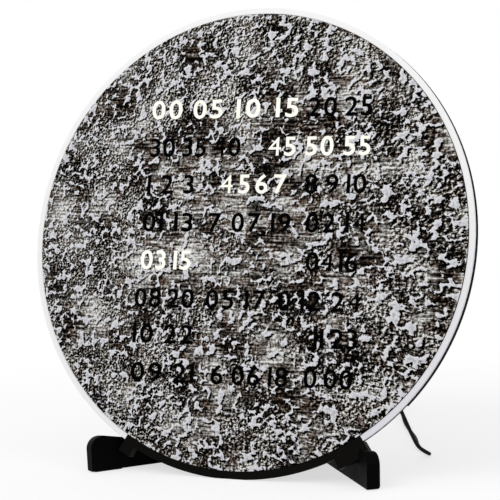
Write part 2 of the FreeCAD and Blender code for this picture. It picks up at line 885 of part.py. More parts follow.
def make_leg(label, side):
    """Board on edge: its toe stands before the clock and its top slopes down to the back."""
    made = body(label, leg_placement(side))
    outline = sketch(made, "XZ_Plane")
    polygon(
        outline,
        [
            ("0", "Sizes.pad_thickness"),
            ("Sizes.leg_length", "Sizes.pad_thickness"),
            ("Sizes.leg_length", "Sizes.leg_blank_height"),
            ("-Sizes.leg_rake", "Sizes.leg_blank_height"),
        ],
    )
    pad(made, outline, "Sizes.leg_thickness", backwards=side < 0)
    slope_leg(made, side)

    def across(edge):
        return edge.BoundBox.YLength > size("leg_thickness") - 1e-4

    def at_toe(edge):
        return across(edge) and edge.BoundBox.XMax < 1 and edge.BoundBox.ZMin > 10

    def at_heel(edge):
        return across(edge) and edge.BoundBox.XMin > size("leg_length") - 1 and edge.BoundBox.ZMin > 3

    round_edges(made, at_toe, "Sizes.leg_toe_radius")
    round_edges(made, at_heel, "Sizes.leg_heel_radius")
    outer = -side * size("leg_thickness")

    def on_outer_face(edge):
        return abs(edge.BoundBox.YMin - outer) + abs(edge.BoundBox.YMax - outer) < 1e-4

    round_edges(made, on_outer_face, "Sizes.leg_edge_radius")
    bore_leg(made, side)
    return made


def slope_leg(leg, side):
    """Cuts the top to the plane on which the bracket's shelf lies, square to the clock's face."""
    above = leg.newObject("PartDesign::SubtractiveBox", leg.Name + "_slope")
    reach = 2 * size("leg_length")
    above.Length = 2 * reach
    above.Width = reach
    above.Height = 2 * reach
    corner = Placement(Vector(-reach, -size("leg_top_drop"), -reach), Rotation())
    attach_to_body(above, leg)
    above.AttachmentOffset = leg_placement(side).inverse() * CLOCK * corner
    doc.recompute()


def bore_leg(leg, side):
    """Pilot holes for the leg screws, at a right angle to the leg's sloping top."""
    down = leg_placement(side).Rotation.inverted().multVec(-UP)
    for place in leg_screw_places(side):
        hole = leg.newObject("PartDesign::SubtractiveCylinder", leg.Name + "_pilot")
        hole.setExpression("Radius", SCREW_HOLE)
        hole.setExpression("Height", "2 * Sizes.screw_grip")
        attach_to_body(hole, leg)
        start = leg_placement(side).inverse().multVec(place) - down * size("screw_grip")
        hole.AttachmentOffset = Placement(start, Rotation(OUT, down))
        doc.recompute()


def make_leg_pads():
    """Rubber pads under the toe and the heel of each leg."""
    length, width = size("pad_length"), size("pad_width")
    inset = (size("leg_thickness") - size("leg_edge_radius") - width) / 2
    end_gap = 4.0
    pads = []
    for side in (-1, 1):
        near = inset if side < 0 else -inset - width
        for along in (end_gap, size("leg_length") - length - end_gap):
            made = Part.makeBox(length, width, size("pad_thickness"), Vector(along, near, 0))
            made.Placement = leg_placement(side)
            pads.append(made)
    group("leg_pads", pads)


def make_stand_bracket():
    """Steel angle: its upright is screwed to the back frame, its shelf to the legs' tops."""
    made = body("stand_bracket")
    half, low = "Sizes.bracket_half_width", "-Sizes.leg_top_drop"
    upright = sketch(made, offset=str(-FRAME_BACK))
    rectangle(upright, f"-{half}", low, half, f"{low} + Sizes.bracket_upright")
    for x, y in bracket_screw_places():
        circle(upright, x, y, SCREW_HOLE)
    pad(made, upright, "Sizes.bracket_thickness")

    shelf = sketch(made, "XZ_Plane", "Sizes.leg_top_drop")
    shoulder = f"-({FRAME_BACK} + Sizes.bracket_shoulder)"
    rear = f"-({FRAME_BACK} + Sizes.bracket_reach)"
    polygon(
        shelf,
        [
            (half, str(-FRAME_BACK)),
            (f"-{half}", str(-FRAME_BACK)),
            (f"-{half}", shoulder),
            ("-Sizes.bracket_rear_half", rear),
            ("Sizes.bracket_rear_half", rear),
            (half, shoulder),
        ],
    )
    for side in (-1, 1):
        for place in leg_screw_places(side):
            local = CLOCK.inverse().multVec(place)
            circle(shelf, local.x, local.z, SCREW_HOLE)
    pad(made, shelf, "Sizes.bracket_thickness")


def make_stand_screws():
    thickness = size("bracket_thickness")
    back = FRAME_BACK + thickness
    reach = back - FRAME_FRONT - size("piece_gap")
    group("bracket_screws", rear_screws(bracket_screw_places(), back, reach), CLOCK)
    leg_screws = [
        pan_screw(place + UP * thickness, -UP, thickness + size("screw_grip") - 1)
        for side in (-1, 1)
        for place in leg_screw_places(side)
    ]
    group("leg_screws", leg_screws)


def make_chin(legs):
    """Black arc in the ring's gap, with a saddle at each end that seats on the legs."""
    made = sector(
        size("face_radius") + size("ring_gap"),
        size("chin_radius"),
        size("ring_setback"),
        FRAME_FRONT,
        -90 - size("chin_left_angle"),
        size("chin_left_angle") + size("chin_right_angle"),
    )
    left_end, right_end = size("chin_left_angle"), size("chin_right_angle")
    start = size("saddle_inner_angle")
    for side, end in ((-1, left_end), (1, right_end)):
        saddle = sector(
            size("frame_radius") + size("piece_gap"),
            size("saddle_radius"),
            size("ring_setback"),
            size("saddle_depth"),
            -90 + (start if side > 0 else -end),
            end - start,
        )
        made = made.fuse(saddle)
    made.Placement = CLOCK
    for leg in legs:
        made = made.cut(leg.Shape)
    reach = 2 * size("frame_radius")
    below = box((-reach, -reach, -reach), (reach, reach, size("ground_clearance")))
    made = made.cut(below)
    skin = size("ring_setback") + size("chin_skin")
    for x, y in chin_screw_places():
        made = made.cut(
            Part.makeCylinder(
                size("screw_radius") + size("screw_play"),
                FRAME_FRONT - skin,
                clock_point(x, y, FRAME_FRONT),
                CLOCK.Rotation.multVec(OUT),
            )
        )
    feature("chin", made.removeSplitter())
    reach = FRAME_BACK - skin - size("piece_gap")
    group("chin_screws", rear_screws(chin_screw_places(), FRAME_BACK, reach), CLOCK)


# ---------------------------------------------------------------- power lead

PLUG_DEPTH = HOUSING_BACK + size("plug_boss_height")
PLUG_TURN = math.radians(size("plug_turn"))
PLUG_WAY = CLOCK.Rotation.multVec(Vector(math.sin(PLUG_TURN), -math.cos(PLUG_TURN), 0))
PLUG_MIDDLE = clock_point(size("jack_x"), size("jack_y"), PLUG_DEPTH)
RELIEF_START = PLUG_MIDDLE + PLUG_WAY * size("plug_length")
CORD_START = RELIEF_START + PLUG_WAY * size("relief_length")


def make_dc_plug():
    """Angled plug: a barrel into the inlet, a boss on it, and a grip across them."""
    forwards = CLOCK.Rotation.multVec(OUT)
    jack_face = clock_point(size("jack_x"), size("jack_y"), HOUSING_BACK)
    boss = Part.makeCylinder(
        size("plug_boss_radius"), size("plug_boss_height"), PLUG_MIDDLE, forwards
    )
    barrel = Part.makeCylinder(size("barrel_radius"), size("barrel_length"), jack_face, forwards)
    hollow = Part.makeCylinder(size("barrel_bore"), size("barrel_length"), jack_face, forwards)
    radius = size("plug_radius")
    grip = Part.makeCylinder(radius, size("plug_length"), PLUG_MIDDLE, PLUG_WAY)
    dome = Part.makeSphere(radius, PLUG_MIDDLE)
    made = grip.fuse(dome).fuse(boss).fuse(barrel).cut(hollow)
    feature("dc_plug", made.removeSplitter())


def make_strain_relief():
    """Tapered sleeve with grooves round it."""
    length, groove = size("relief_length"), 0.5
    wide, narrow = size("relief_radius"), size("relief_tip_radius")
    ribs = 4
    outline = [(0, 0)]
    for k in range(2 * ribs):
        radius = wide - (wide - narrow) * k / (2 * ribs - 1) - (groove if k % 2 else 0)
        outline.append((radius, length * k / (2 * ribs)))
        outline.append((radius, length * (k + 1) / (2 * ribs)))
    outline.append((0, length))
    made = revolved(outline)
    made.Placement = Placement(RELIEF_START, Rotation(OUT, PLUG_WAY))
    feature("strain_relief", made)


def lead_tube(label, points):
    """Round tube along straight runs that are joined by tangent arcs."""
    edges = []
    reached = points[0]
    length = 0.0
    for before, corner, after in zip(points, points[1:], points[2:]):
        come = corner - before
        leave = after - corner
        half_turn = come.getAngle(leave) / 2
        tangent = 0.45 * min(come.Length, leave.Length)
        radius = tangent / math.tan(half_turn)
        print(f"{label}: arc radius {radius:.1f} mm, turn {math.degrees(2 * half_turn):.1f} degrees")
        come.normalize()
        leave.normalize()
        start = corner - come * tangent
        end = corner + leave * tangent
        inward = (leave - come).normalize()
        middle = corner + inward * radius * (1 / math.cos(half_turn) - 1)
        edges.append(Part.LineSegment(reached, start).toShape())
        edges.append(Part.Arc(start, middle, end).toShape())
        length += (start - reached).Length + 2 * radius * half_turn
        reached = end
    edges.append(Part.LineSegment(reached, points[-1]).toShape())
    length += (points[-1] - reached).Length
    section = Part.Wire([Part.makeCircle(size("cord_radius"), points[0], points[1] - points[0])])
    tube = Part.Wire(edges).makePipeShell([section], True, True)
    expected = math.pi * size("cord_radius") ** 2 * length
    print(f"{label}: length {length:.1f} mm, volume {tube.Volume:.0f} of {expected:.0f} mm3")
    return tube


def rounded_section(growth):
    """Closed outline of the coil's section, larger by growth on every side."""
    radius = size("cord_radius")
    inner = size("coil_inner_turn") - radius - growth
    outer = size("coil_inner_turn") + 3 * radius + growth
    low = size("coil_lift") - growth
    high = size("coil_lift") + 2 * radius * size("coil_layers") + growth
    cut = 0.6 * radius + growth / 2
    return [
        (inner + cut, low),
        (outer - cut, low),
        (outer, low + cut),
        (outer, high - cut),
        (outer - cut, high),
        (inner + cut, high),
        (inner, high - cut),
        (inner, low + cut),
    ]


def make_cord():
    """The lead: a free tube, the wound coil with its tie, and a short tail to the supply plug."""
    middle = Vector(size("coil_x"), size("coil_y"), 0)
    coil = revolved(rounded_section(0))
    coil.translate(middle)
    points = [CORD_START] + [Vector(*p) for p in CORD_ROUTE]
    feature("cord", lead_tube("cord", points).cut(coil))
    feature("cord_coil", coil)
    tail = lead_tube("cord_tail", [Vector(*p) for p in TAIL_ROUTE])
    feature("cord_tail", tail.cut(coil))

    slack = 0.05
    sweep = size("tie_angle")
    tie = revolved(rounded_section(size("tie_thickness")), sweep)
    tie = tie.cut(revolved(rounded_section(slack), sweep))
    tie.rotate(Vector(), OUT, size("tie_bearing"))
    tie.translate(middle)
    feature("coil_tie", tie)


def make_usb_plug():
    """Plain supply plug: a moulded grip with a tongue inside a metal shell."""
    length, width, height = size("usb_length"), size("usb_width"), size("usb_height")
    grip = box((0, -width / 2, -height / 2), (length, width / 2, height / 2))
    grip = grip.makeFillet(1.5, [e for e in grip.Edges if e.BoundBox.XMin < 1])
    half_width, half_height = size("usb_shell_width") / 2, size("usb_shell_height") / 2
    wall = size("usb_shell_wall")
    end = length + size("usb_shell_length")
    tongue = box((length, wall - half_width + 0.1, -0.2), (end - 0.5, half_width - wall - 0.1, 1.6))
    shell = box((length, -half_width, -half_height), (end, half_width, half_height))
    inside = box(
        (length, wall - half_width, wall - half_height), (end, half_width - wall, half_height - wall)
    )
    start = Vector(*TAIL_ROUTE[-1])
    way = start - Vector(*TAIL_ROUTE[-2])
    place = Placement(start, Rotation(Vector(1, 0, 0), way))
    feature("usb_plug", grip.fuse(tongue), place)
    feature("usb_shell", shell.cut(inside), place)


# ---------------------------------------------------------------- build and write

make_face_plate()
make_diffuser_sheet()
make_glow_ring()
make_back_frame()
make_light_grid()
make_led_board()
make_leds()
make_board_spacers()
make_controller_board()
make_controller_parts()
make_buttons()
make_button_board()
make_push_switches()
make_board_screws()
make_rear_housing()
make_housing_screws()
make_dc_jack()
make_hanger()
leg_left = make_leg("leg_left", -1)
leg_right = make_leg("leg_right", 1)
make_leg_pads()
make_chin([leg_left, leg_right])
make_stand_bracket()
make_stand_screws()
make_dc_plug()
make_strain_relief()
make_cord()
make_usb_plug()

doc.recompute()
for item in doc.Objects:
    if {"Invalid", "Error"} & set(item.State):
        raise RuntimeError(f"{item.Label} failed: {item.State}")
pieces = [o for o in doc.Objects if o.TypeId in ("PartDesign::Body", "Part::Feature")]
for item in pieces:
    if item.Shape.isNull() or not item.Shape.isValid():
        raise RuntimeError(f"{item.Label} has no valid shape")

os.makedirs("parts", exist_ok=True)
for item in pieces:
    item.Shape.exportStep(f"parts/{item.Label}.step")
    print(item.Label, len(item.Shape.Solids), "solids", round(item.Shape.Volume / 1000, 2), "cm3")
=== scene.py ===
"""Number clock: the looks of a round table clock with a stone-look face, a pale ring and two wedge legs."""

import math

import bpy
from bpy.props import FloatProperty, FloatVectorProperty, IntProperty, PointerProperty
from mathutils import Matrix, Vector


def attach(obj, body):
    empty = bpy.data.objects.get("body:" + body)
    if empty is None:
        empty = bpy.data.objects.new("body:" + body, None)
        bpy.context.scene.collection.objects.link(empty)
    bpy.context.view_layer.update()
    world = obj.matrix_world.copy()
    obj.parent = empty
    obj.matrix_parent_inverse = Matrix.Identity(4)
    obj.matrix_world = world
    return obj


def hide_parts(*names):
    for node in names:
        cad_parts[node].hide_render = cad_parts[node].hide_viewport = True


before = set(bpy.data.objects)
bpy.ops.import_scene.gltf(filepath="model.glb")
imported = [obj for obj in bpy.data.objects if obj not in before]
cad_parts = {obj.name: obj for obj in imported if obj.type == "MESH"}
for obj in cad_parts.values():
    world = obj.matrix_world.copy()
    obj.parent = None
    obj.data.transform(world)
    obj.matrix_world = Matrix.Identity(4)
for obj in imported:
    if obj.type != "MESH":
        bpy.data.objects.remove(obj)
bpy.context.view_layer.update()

bl_info = {
    "name": "Number Clock",
    "version": (1, 0, 0),
    "blender": (4, 5, 0),
    "location": "View3D > Sidebar > Number Clock",
    "description": "Makes the pieces and finishes of a round number clock on a stand",
    "category": "Object",
}

MM = 0.001
BODY = "clock"
CENTRE = Vector((0.0, -2.975, 221.0)) * MM
LEAN = math.radians(13.0)
# From the clock's own frame (x right, y up along the face, z forwards) to the row frame.
CLOCK_TURN = (math.pi / 2 - LEAN, 0.0, 0.0)
CLOCK_FRAME = Matrix.Translation(CENTRE) @ Matrix.Rotation(CLOCK_TURN[0], 4, "X")
BACKWARDS = (CLOCK_FRAME.to_3x3() @ Vector((0, 0, -1))).normalized()
UPWARDS = (CLOCK_FRAME.to_3x3() @ Vector((0, 1, 0))).normalized()

CAMERA_PLACE = Vector((691.3, -1606.6, 362.8)) * MM
CAMERA_ROLL = math.radians(-1.501)
CAMERA_LENS = 132.97
CAMERA_SHIFT = (0.0099, -0.0221)

LIT = True
DARK = False
# Baseline of each row above the face's middle, and its groups: text, left and right edge, lit or dark (mm).
NUMBER_ROWS = (
    (117.0, (("00 05", -107.4, -32.2, LIT), ("10 15", -17.5, 46.6, LIT), ("20 25", 56.7, 120.7, DARK))),
    (79.5, (("30 35 40", -106.6, -10.7, DARK), ("45 50 55", 18.3, 120.9, LIT))),
    (43.4, (("1 2 3", -107.0, -57.6, DARK), ("4 5 6 7", -29.1, 39.1, LIT), ("8 9 10", 57.3, 119.0, DARK))),
    (6.3, (("01 13", -109.5, -55.9, DARK), ("7 07 19", -39.0, 45.5, DARK), ("02 14", 60.7, 120.1, DARK))),
    (-30.5, (("03 15", -108.7, -55.3, LIT), ("04 16", 63.0, 114.4, DARK))),
    (-67.5, (("08 20", -112.3, -49.4, DARK), ("05 17", -36.8, 25.0, DARK), ("0 12 24", 37.2, 119.5, DARK))),
    (-102.0, (("10 22", -111.6, -47.9, DARK), ("11 23", 75.4, 118.5, DARK))),
    (-139.0, (("09 21", -110.8, -44.1, DARK), ("6 06 18", -26.4, 51.9, DARK), ("0 00", 67.8, 115.9, DARK))),
)
NUMBER_GAP = 2.8  # gap between two numbers, as a multiple of that between two figures
FIGURE_GAP_MIN = 2.0 * MM
FIGURE_GAP_MAX = 4.2 * MM
WIDEST_FIGURE = 1.15  # share of its own width
WINDOW_DEPTH = 0.12 * MM

# The lip behind the frame's edge, in the clock's own frame.
FRAME_RADIUS = 225.0 * MM
FRAME_BACK = -7.0 * MM
LIP_WIDTH = 1.6 * MM
LIP_CORNER = 0.4 * MM
LIP_START = math.radians(-42)
LIP_SWEEP = math.radians(264)

# The posts in the rear housing's corners, in the clock's own frame (mm).
HOUSING_MIDDLE = (5.0, -2.0)
CORNER_MIDDLE = (112.0, 135.0)  # middle of a corner's rounding, from the housing's middle
POST_INNER = 12.82
# Outer radius, front and back of a post and of its foot.
POST_PARTS = ((13.97, -8.6, -34.4), (16.0, -7.1, -8.97))
POST_START = math.radians(30)
POST_SWEEP = math.radians(30)

CROSS_BLADE = (3.2 * MM, 0.7 * MM, 2.0 * MM)  # length, width and height of the blade that cuts a cross
SCREW_TURN = 0.7  # from one screw's cross to the next, in radians
SCREW_SPACING = 3.2 * MM  # less than that between any two screws

SMOOTH_ANGLE = math.radians(35)
SAME_PLACE = 0.005 * MM  # points closer than this are joined

# The lead's way from its relief to the table and back to its coil (mm, row frame).
LEAD_EXIT = (122.26, 18.10, 125.62)
LEAD_ROUTE = (
    (131.2, 12.6, 101.8),
    (146.0, 5.5, 69.0),
    (144.6, 31.0, 48.5),
    (142.2, 61.0, 26.0),
    (143.0, 77.0, 12.0),
    (149.5, 97.0, 2.0),
    (135.0, 116.0, 2.0),
    (122.0, 137.0, 2.0),
    (108.5, 174.0, 2.0),
    (89.0, 213.0, 2.0),
    (69.5, 255.0, 2.0),
    (55.0, 293.0, 2.0),
    (44.5, 319.0, 2.0),
    (35.4, 337.3, 2.4),
    (28.3, 348.2, 2.8),
)
# From the coil to the supply plug.
LEAD_TAIL = (
    (-8.1, 360.4, 13.6),
    (-20.4, 355.9, 12.6),
    (-37.3, 349.8, 4.3),
    (-49.5, 345.3, 4.3),
)
COIL_CENTRE = (6.0, 342.0)
COIL_START = math.radians(33)
COIL_TURNS = 7.21
COIL_LAYERS = 4
COIL_INNER_TURN = 18.5
COIL_OUTER_TURN = 22.1
COIL_LIFT = 1.0
STEP_START = 0.80  # share of a turn after which the lead steps to the next
STEP_LENGTH = 0.16
TIE_SLACK = 0.35
TIE_SWEEP = math.radians(24)
TIE_CORNER = 1.6 * MM
TIE_CLOTH = 0.6 * MM


def colour(code):
    """A colour written as sRGB hex, as the linear colour that a socket takes."""
    channels = [int(code[k : k + 2], 16) / 255 for k in (1, 3, 5)]
    linear = [c / 12.92 if c <= 0.04045 else ((c + 0.055) / 1.055) ** 2.4 for c in channels]
    return (*linear, 1.0)


# The stone print's greys, from its darkest to its palest tone.
STONE_TONES = (
    (0.12, colour("#000000")),
    (0.25, colour("#0B0907")),
    (0.38, colour("#2E2925")),
    (0.56, colour("#67635F")),
    (0.73, colour("#A5A4A1")),
    (0.85, colour("#CBCBCB")),
    (0.97, colour("#F4F4F2")),
)
# Real sizes of the stone print's forms (mm).
PATCH_WIDTH = 16
PIT_SPACING = 6
STRAY_WIDTH = 5
STRAY_REACH = 7
GRAIN_WIDTH = 2.8
STREAK_SIZE = (26, 2.2)
DRIFT_WIDTH = 42
CALM_WIDTH = 55
STAIN_WIDTH = 24
# From a point to the one that its height is compared with.
SHADOW_STEP = (-1.5, 1.5, 0.0)
GRAIN_STEP = (-0.8, 0.8, 0.0)
# What each millimetre adds: to the fineness towards the right, and to the film and the calm outwards.
FINENESS_SLOPE = -0.0008
FILM_SLOPE = 0.0002
CALM_SLOPE = -0.0009


class NumberClockFace(bpy.types.PropertyGroup):
    figure_height: FloatProperty(
        name="Figure Height", description="Height of the figures", default=18.9 * MM, unit="LENGTH"
    )
    figure_width: FloatProperty(
        name="Figure Width",
        description="Width of a round figure such as 0",
        default=13.0 * MM,
        unit="LENGTH",
    )
    figure_weight: FloatProperty(
        name="Figure Weight",
        description="Thickening of the strokes, as a share of the type size",
        default=0.016,
    )
    film_colour: FloatVectorProperty(
        name="Film Colour",
        description="Tint of the pale patches",
        subtype="COLOR",
        default=colour("#F8F8FF")[:3],
    )
    stain_colour: FloatVectorProperty(
        name="Stain Colour",
        description="Tint of the brown stains",
        subtype="COLOR",
        default=colour("#FFE0CC")[:3],
    )
    lit_colour: FloatVectorProperty(
        name="Lit Colour",
        description="Light of the lit numbers",
        subtype="COLOR",
        default=colour("#FFFFF4")[:3],
    )
    ring_colour: FloatVectorProperty(
        name="Ring Colour",
        description="Colour of the pale ring",
        subtype="COLOR",
        default=colour("#F3F3F3")[:3],
    )


class NumberClockCase(bpy.types.PropertyGroup):
    leg_colour: FloatVectorProperty(
        name="Leg Colour", description="Colour of the legs", subtype="COLOR", default=colour("#060606")[:3]
    )
    chin_colour: FloatVectorProperty(
        name="Chin Colour",
        description="Colour of the arc under the face",
        subtype="COLOR",
        default=colour("#0B0A08")[:3],
    )
    case_colour: FloatVectorProperty(
        name="Case Colour",
        description="Colour of the back and its housing",
        subtype="COLOR",
        default=colour("#141414")[:3],
    )
    edge_radius: FloatProperty(
        name="Edge Radius", description="Rounding of the moulded edges", default=0.6 * MM, unit="LENGTH"
    )
    rim_depth: FloatProperty(
        name="Rim Depth",
        description="Depth of the lip behind the frame's edge",
        default=4.4 * MM,
        unit="LENGTH",
    )


class NumberClockLead(bpy.types.PropertyGroup):
    diameter: FloatProperty(
        name="Diameter", description="Thickness of the power lead", default=3.6 * MM, unit="LENGTH"
    )
    length: FloatProperty(
        name="Length", description="Real length of the power lead", default=1.5, unit="LENGTH"
    )
    turn_steps: IntProperty(name="Turn Steps", description="Points for each turn of the coil", default=12)
    tie_bearing: FloatProperty(
        name="Tie Bearing",
        description="Place of the tie round the coil",
        default=math.radians(227),
        subtype="ANGLE",
    )


class NumberClockStage(bpy.types.PropertyGroup):
    floor_colour: FloatVectorProperty(
        name="Floor Colour",
        description="Colour of the floor",
        subtype="COLOR",
        default=colour("#A9A9A9")[:3],
    )
    daylight: FloatProperty(name="Daylight", description="Strength of the even light", default=0.62)
    key_power: FloatProperty(name="Key Power", description="Power of the large front lamp", default=26.0)
    side_power: FloatProperty(name="Side Power", description="Power of the side lamp", default=7.0)


# ---------------------------------------------------------------- finishes


def node(tree, kind, sockets=(), stops=(), **settings):
    """Adds a node with its settings and links. A socket is given a value, a node or one of its outputs;
    a colour ramp's stops are pairs of place and colour, in ascending order."""
    made = tree.nodes.new(kind)
    for name, value in settings.items():
        setattr(made, name, value)
    for name, value in dict(sockets).items():
        if isinstance(value, bpy.types.Node):
            value = value.outputs[0]
        if isinstance(value, bpy.types.NodeSocket):
            tree.links.new(value, made.inputs[name])
        else:
            made.inputs[name].default_value = value
    for k, (place, tone) in enumerate(stops):
        elements = made.color_ramp.elements
        element = elements[k] if k < len(elements) else elements.new(place)
        element.position = place
        element.color = tone
    return made


def finish(name):
    """A new procedural material, its node tree, and the object coordinates for its patterns."""
    made = bpy.data.materials.new(name)
    made.use_nodes = True
    tree = made.node_tree
    tree.nodes.clear()
    return made, tree, node(tree, "ShaderNodeTexCoord").outputs["Object"]


def shade(tone, share):
    """A colour made darker or lighter by a share."""
    return (*(min(1.0, channel * share) for channel in tone[:3]), 1.0)


def film_cover(tree, place, reach):
    """How far the print's pale film covers the ground at a place in millimetres, from 0 to 1. Its patches are
    longer along one slant and fewer in the middle, with pits in them and strands between the pits."""
    slanted = node(
        tree,
        "ShaderNodeMapping",
        {"Vector": place, "Rotation": (0.0, 0.0, math.radians(40)), "Scale": (1.15, 0.9, 1.0)},
        vector_type="TEXTURE",
    )
    patch = node(
        tree,
        "ShaderNodeTexNoise",
        {"Vector": slanted, "Scale": 1 / PATCH_WIDTH, "Detail": 4.0, "Roughness": 0.66, "Distortion": 0.5},
        noise_dimensions="2D",
    )
    wander = node(
        tree,
        "ShaderNodeTexNoise",
        {"Vector": place, "Scale": 1 / STRAY_WIDTH, "Detail": 2.0},
        noise_dimensions="2D",
    ).outputs["Color"]
    strayed = node(
        tree,
        "ShaderNodeVectorMath",
        {0: wander, 1: (STRAY_REACH, STRAY_REACH, 0.0), 2: place},
        operation="MULTIPLY_ADD",
    )
    pits = node(
        tree, "ShaderNodeTexVoronoi", {"Vector": strayed, "Scale": 1 / PIT_SPACING}, voronoi_dimensions="2D"
    ).outputs["Distance"]
    rise = node(tree, "ShaderNodeMath", {0: pits, 1: 0.60, 2: patch}, operation="MULTIPLY_ADD")
    rise = node(tree, "ShaderNodeMath", {0: reach, 1: FILM_SLOPE, 2: rise}, operation="MULTIPLY_ADD")
    # The film covers what rises past this level, and ends sharply.
    return node(
        tree,
        "ShaderNodeMapRange",
        {"Value": rise, "From Min": 0.888, "From Max": 0.918},
        interpolation_type="SMOOTHSTEP",
    )


def ground_grain(tree, place):
    """Grain of the print's ground, drawn as coarse as it needs to be to show."""
    return node(
        tree,
        "ShaderNodeTexNoise",
        {"Vector": place, "Scale": 1 / GRAIN_WIDTH, "Detail": 2.0, "Roughness": 0.6, "Distortion": 0.2},
        noise_dimensions="2D",
    )


def stone_print(face):
    """Stone pattern printed under satin laminate: pale pitted film with a hard shadow on its lower right,
    over a ground that is dark and speckled, and calmer and streaked in the middle."""
    made, tree, place = finish("satin_laminate_stone_print")
    plane = node(
        tree,
        "ShaderNodeMapping",
        {"Vector": place, "Location": CENTRE, "Rotation": CLOCK_TURN, "Scale": (MM, MM, MM)},
        vector_type="TEXTURE",
    )
    parts = node(tree, "ShaderNodeSeparateXYZ", {0: plane})
    reach = node(tree, "ShaderNodeVectorMath", {0: plane}, operation="LENGTH").outputs["Value"]
    # The pattern grows coarser from the left edge to the right edge.
    fineness = node(
        tree,
        "ShaderNodeMath",
        {0: parts.outputs["X"], 1: FINENESS_SLOPE, 2: 1.0},
        operation="MULTIPLY_ADD",
    )
    spread = node(tree, "ShaderNodeVectorMath", {0: plane, "Scale": fineness}, operation="SCALE")

    film = film_cover(tree, spread, reach)
    behind = node(tree, "ShaderNodeVectorMath", {0: spread, 1: SHADOW_STEP}, operation="ADD")
    edge = node(tree, "ShaderNodeMath", {0: film, 1: film_cover(tree, behind, reach)}, operation="SUBTRACT")
    # A faint light on one side of the film's edges, and a strong shadow on the other.
    lit_edge = node(tree, "ShaderNodeMath", {0: edge, 1: 0.14}, operation="MULTIPLY")
    cast_edge = node(tree, "ShaderNodeMath", {0: edge, 1: 0.55}, operation="MULTIPLY")
    relief = node(tree, "ShaderNodeMath", {0: lit_edge, 1: cast_edge}, operation="MINIMUM")

    grain = ground_grain(tree, spread)
    aside = node(tree, "ShaderNodeVectorMath", {0: spread, 1: GRAIN_STEP}, operation="ADD")
    slope = node(tree, "ShaderNodeMath", {0: grain, 1: ground_grain(tree, aside)}, operation="SUBTRACT")
    combed = node(
        tree,
        "ShaderNodeMapping",
        {"Vector": plane, "Scale": (1 / STREAK_SIZE[0], 1 / STREAK_SIZE[1], 1.0)},
    )
    streak = node(
        tree,
        "ShaderNodeTexNoise",
        {"Vector": combed, "Scale": 1.0, "Detail": 2.0, "Roughness": 0.6},
        noise_dimensions="2D",
    )
    drift = node(
        tree,
        "ShaderNodeTexNoise",
        {"Vector": plane, "Scale": 1 / DRIFT_WIDTH, "Detail": 3.0, "Roughness": 0.6},
        noise_dimensions="2D",
    )
    calm_field = node(
        tree,
        "ShaderNodeTexNoise",
        {"Vector": plane, "Scale": 1 / CALM_WIDTH, "Detail": 3.0, "Roughness": 0.55, "W": 3.0},
        noise_dimensions="4D",
    )
    calm_field = node(
        tree, "ShaderNodeMath", {0: reach, 1: CALM_SLOPE, 2: calm_field}, operation="MULTIPLY_ADD"
    )
    calm = node(
        tree,
        "ShaderNodeMapRange",
        {"Value": calm_field, "From Min": 0.28, "From Max": 0.45},
        interpolation_type="SMOOTHSTEP",
    )
    # Each term's share of the tone; the last value sets the mean.
    rough = node(tree, "ShaderNodeMath", {0: grain, 1: 2.3, 2: -0.75}, operation="MULTIPLY_ADD")
    rough = node(tree, "ShaderNodeMath", {0: slope, 1: 1.3, 2: rough}, operation="MULTIPLY_ADD")
    quiet = node(tree, "ShaderNodeMath", {0: grain, 1: 1.1, 2: -0.64}, operation="MULTIPLY_ADD")
    quiet = node(tree, "ShaderNodeMath", {0: streak, 1: 1.25, 2: quiet}, operation="MULTIPLY_ADD")
    ground = node(tree, "ShaderNodeMix", {0: calm, 2: rough, 3: quiet}, data_type="FLOAT")
    ground = node(tree, "ShaderNodeMath", {0: drift, 1: 1.5, 2: ground}, operation="MULTIPLY_ADD")
    ground = node(tree, "ShaderNodeMath", {0: ground, 1: 0.75}, operation="SUBTRACT")
    pale = node(tree, "ShaderNodeMath", {0: grain, 1: 0.35, 2: 0.74}, operation="MULTIPLY_ADD")
    mixed = node(tree, "ShaderNodeMix", {0: film, 2: ground, 3: pale}, data_type="FLOAT")
    tone = node(tree, "ShaderNodeMath", {0: mixed, 1: relief}, operation="ADD")
    greys = node(tree, "ShaderNodeValToRGB", {0: tone}, STONE_TONES)

    stain = node(
        tree,
        "ShaderNodeTexNoise",
        {"Vector": plane, "Scale": 1 / STAIN_WIDTH, "Detail": 4.0, "Roughness": 0.65},
        noise_dimensions="2D",
    )
    brown = node(
        tree, "ShaderNodeValToRGB", {0: stain}, ((0.43, colour("#FFFCF9")), (0.58, (*face.stain_colour, 1.0)))
    )
    # The stains lie in the darker ground and leave its pale grains grey.
    bare = node(tree, "ShaderNodeMapRange", {"Value": tone, "From Min": 0.50, "From Max": 0.75})
    brown = node(
        tree, "ShaderNodeMix", {0: bare, 6: brown, 7: colour("#FFFEFC")}, data_type="RGBA"
    ).outputs[2]
    tint = node(
        tree, "ShaderNodeMix", {0: film, 6: brown, 7: (*face.film_colour, 1.0)}, data_type="RGBA"
    ).outputs[2]
    printed = node(
        tree, "ShaderNodeMix", {0: 1.0, 6: greys, 7: tint}, data_type="RGBA", blend_type="MULTIPLY"
    ).outputs[2]
    # Only the plate's front is printed.
    on_front = node(tree, "ShaderNodeMath", {0: parts.outputs["Z"], 1: -0.05}, operation="GREATER_THAN")
    skin = node(
        tree, "ShaderNodeMix", {0: on_front, 6: colour("#0C0B0A"), 7: printed}, data_type="RGBA"
    ).outputs[2]
    bump = node(tree, "ShaderNodeBump", {"Height": mixed, "Strength": 0.05, "Distance": 0.2 * MM})
    shader = node(
        tree,
        "ShaderNodeBsdfPrincipled",
        {
            "Base Color": skin,
            "Roughness": 0.55,
            "IOR": 1.46,
            "Specular IOR Level": 0.01,
            "Normal": bump,
        },
    )
    node(tree, "ShaderNodeOutputMaterial", {"Surface": shader})
    return made


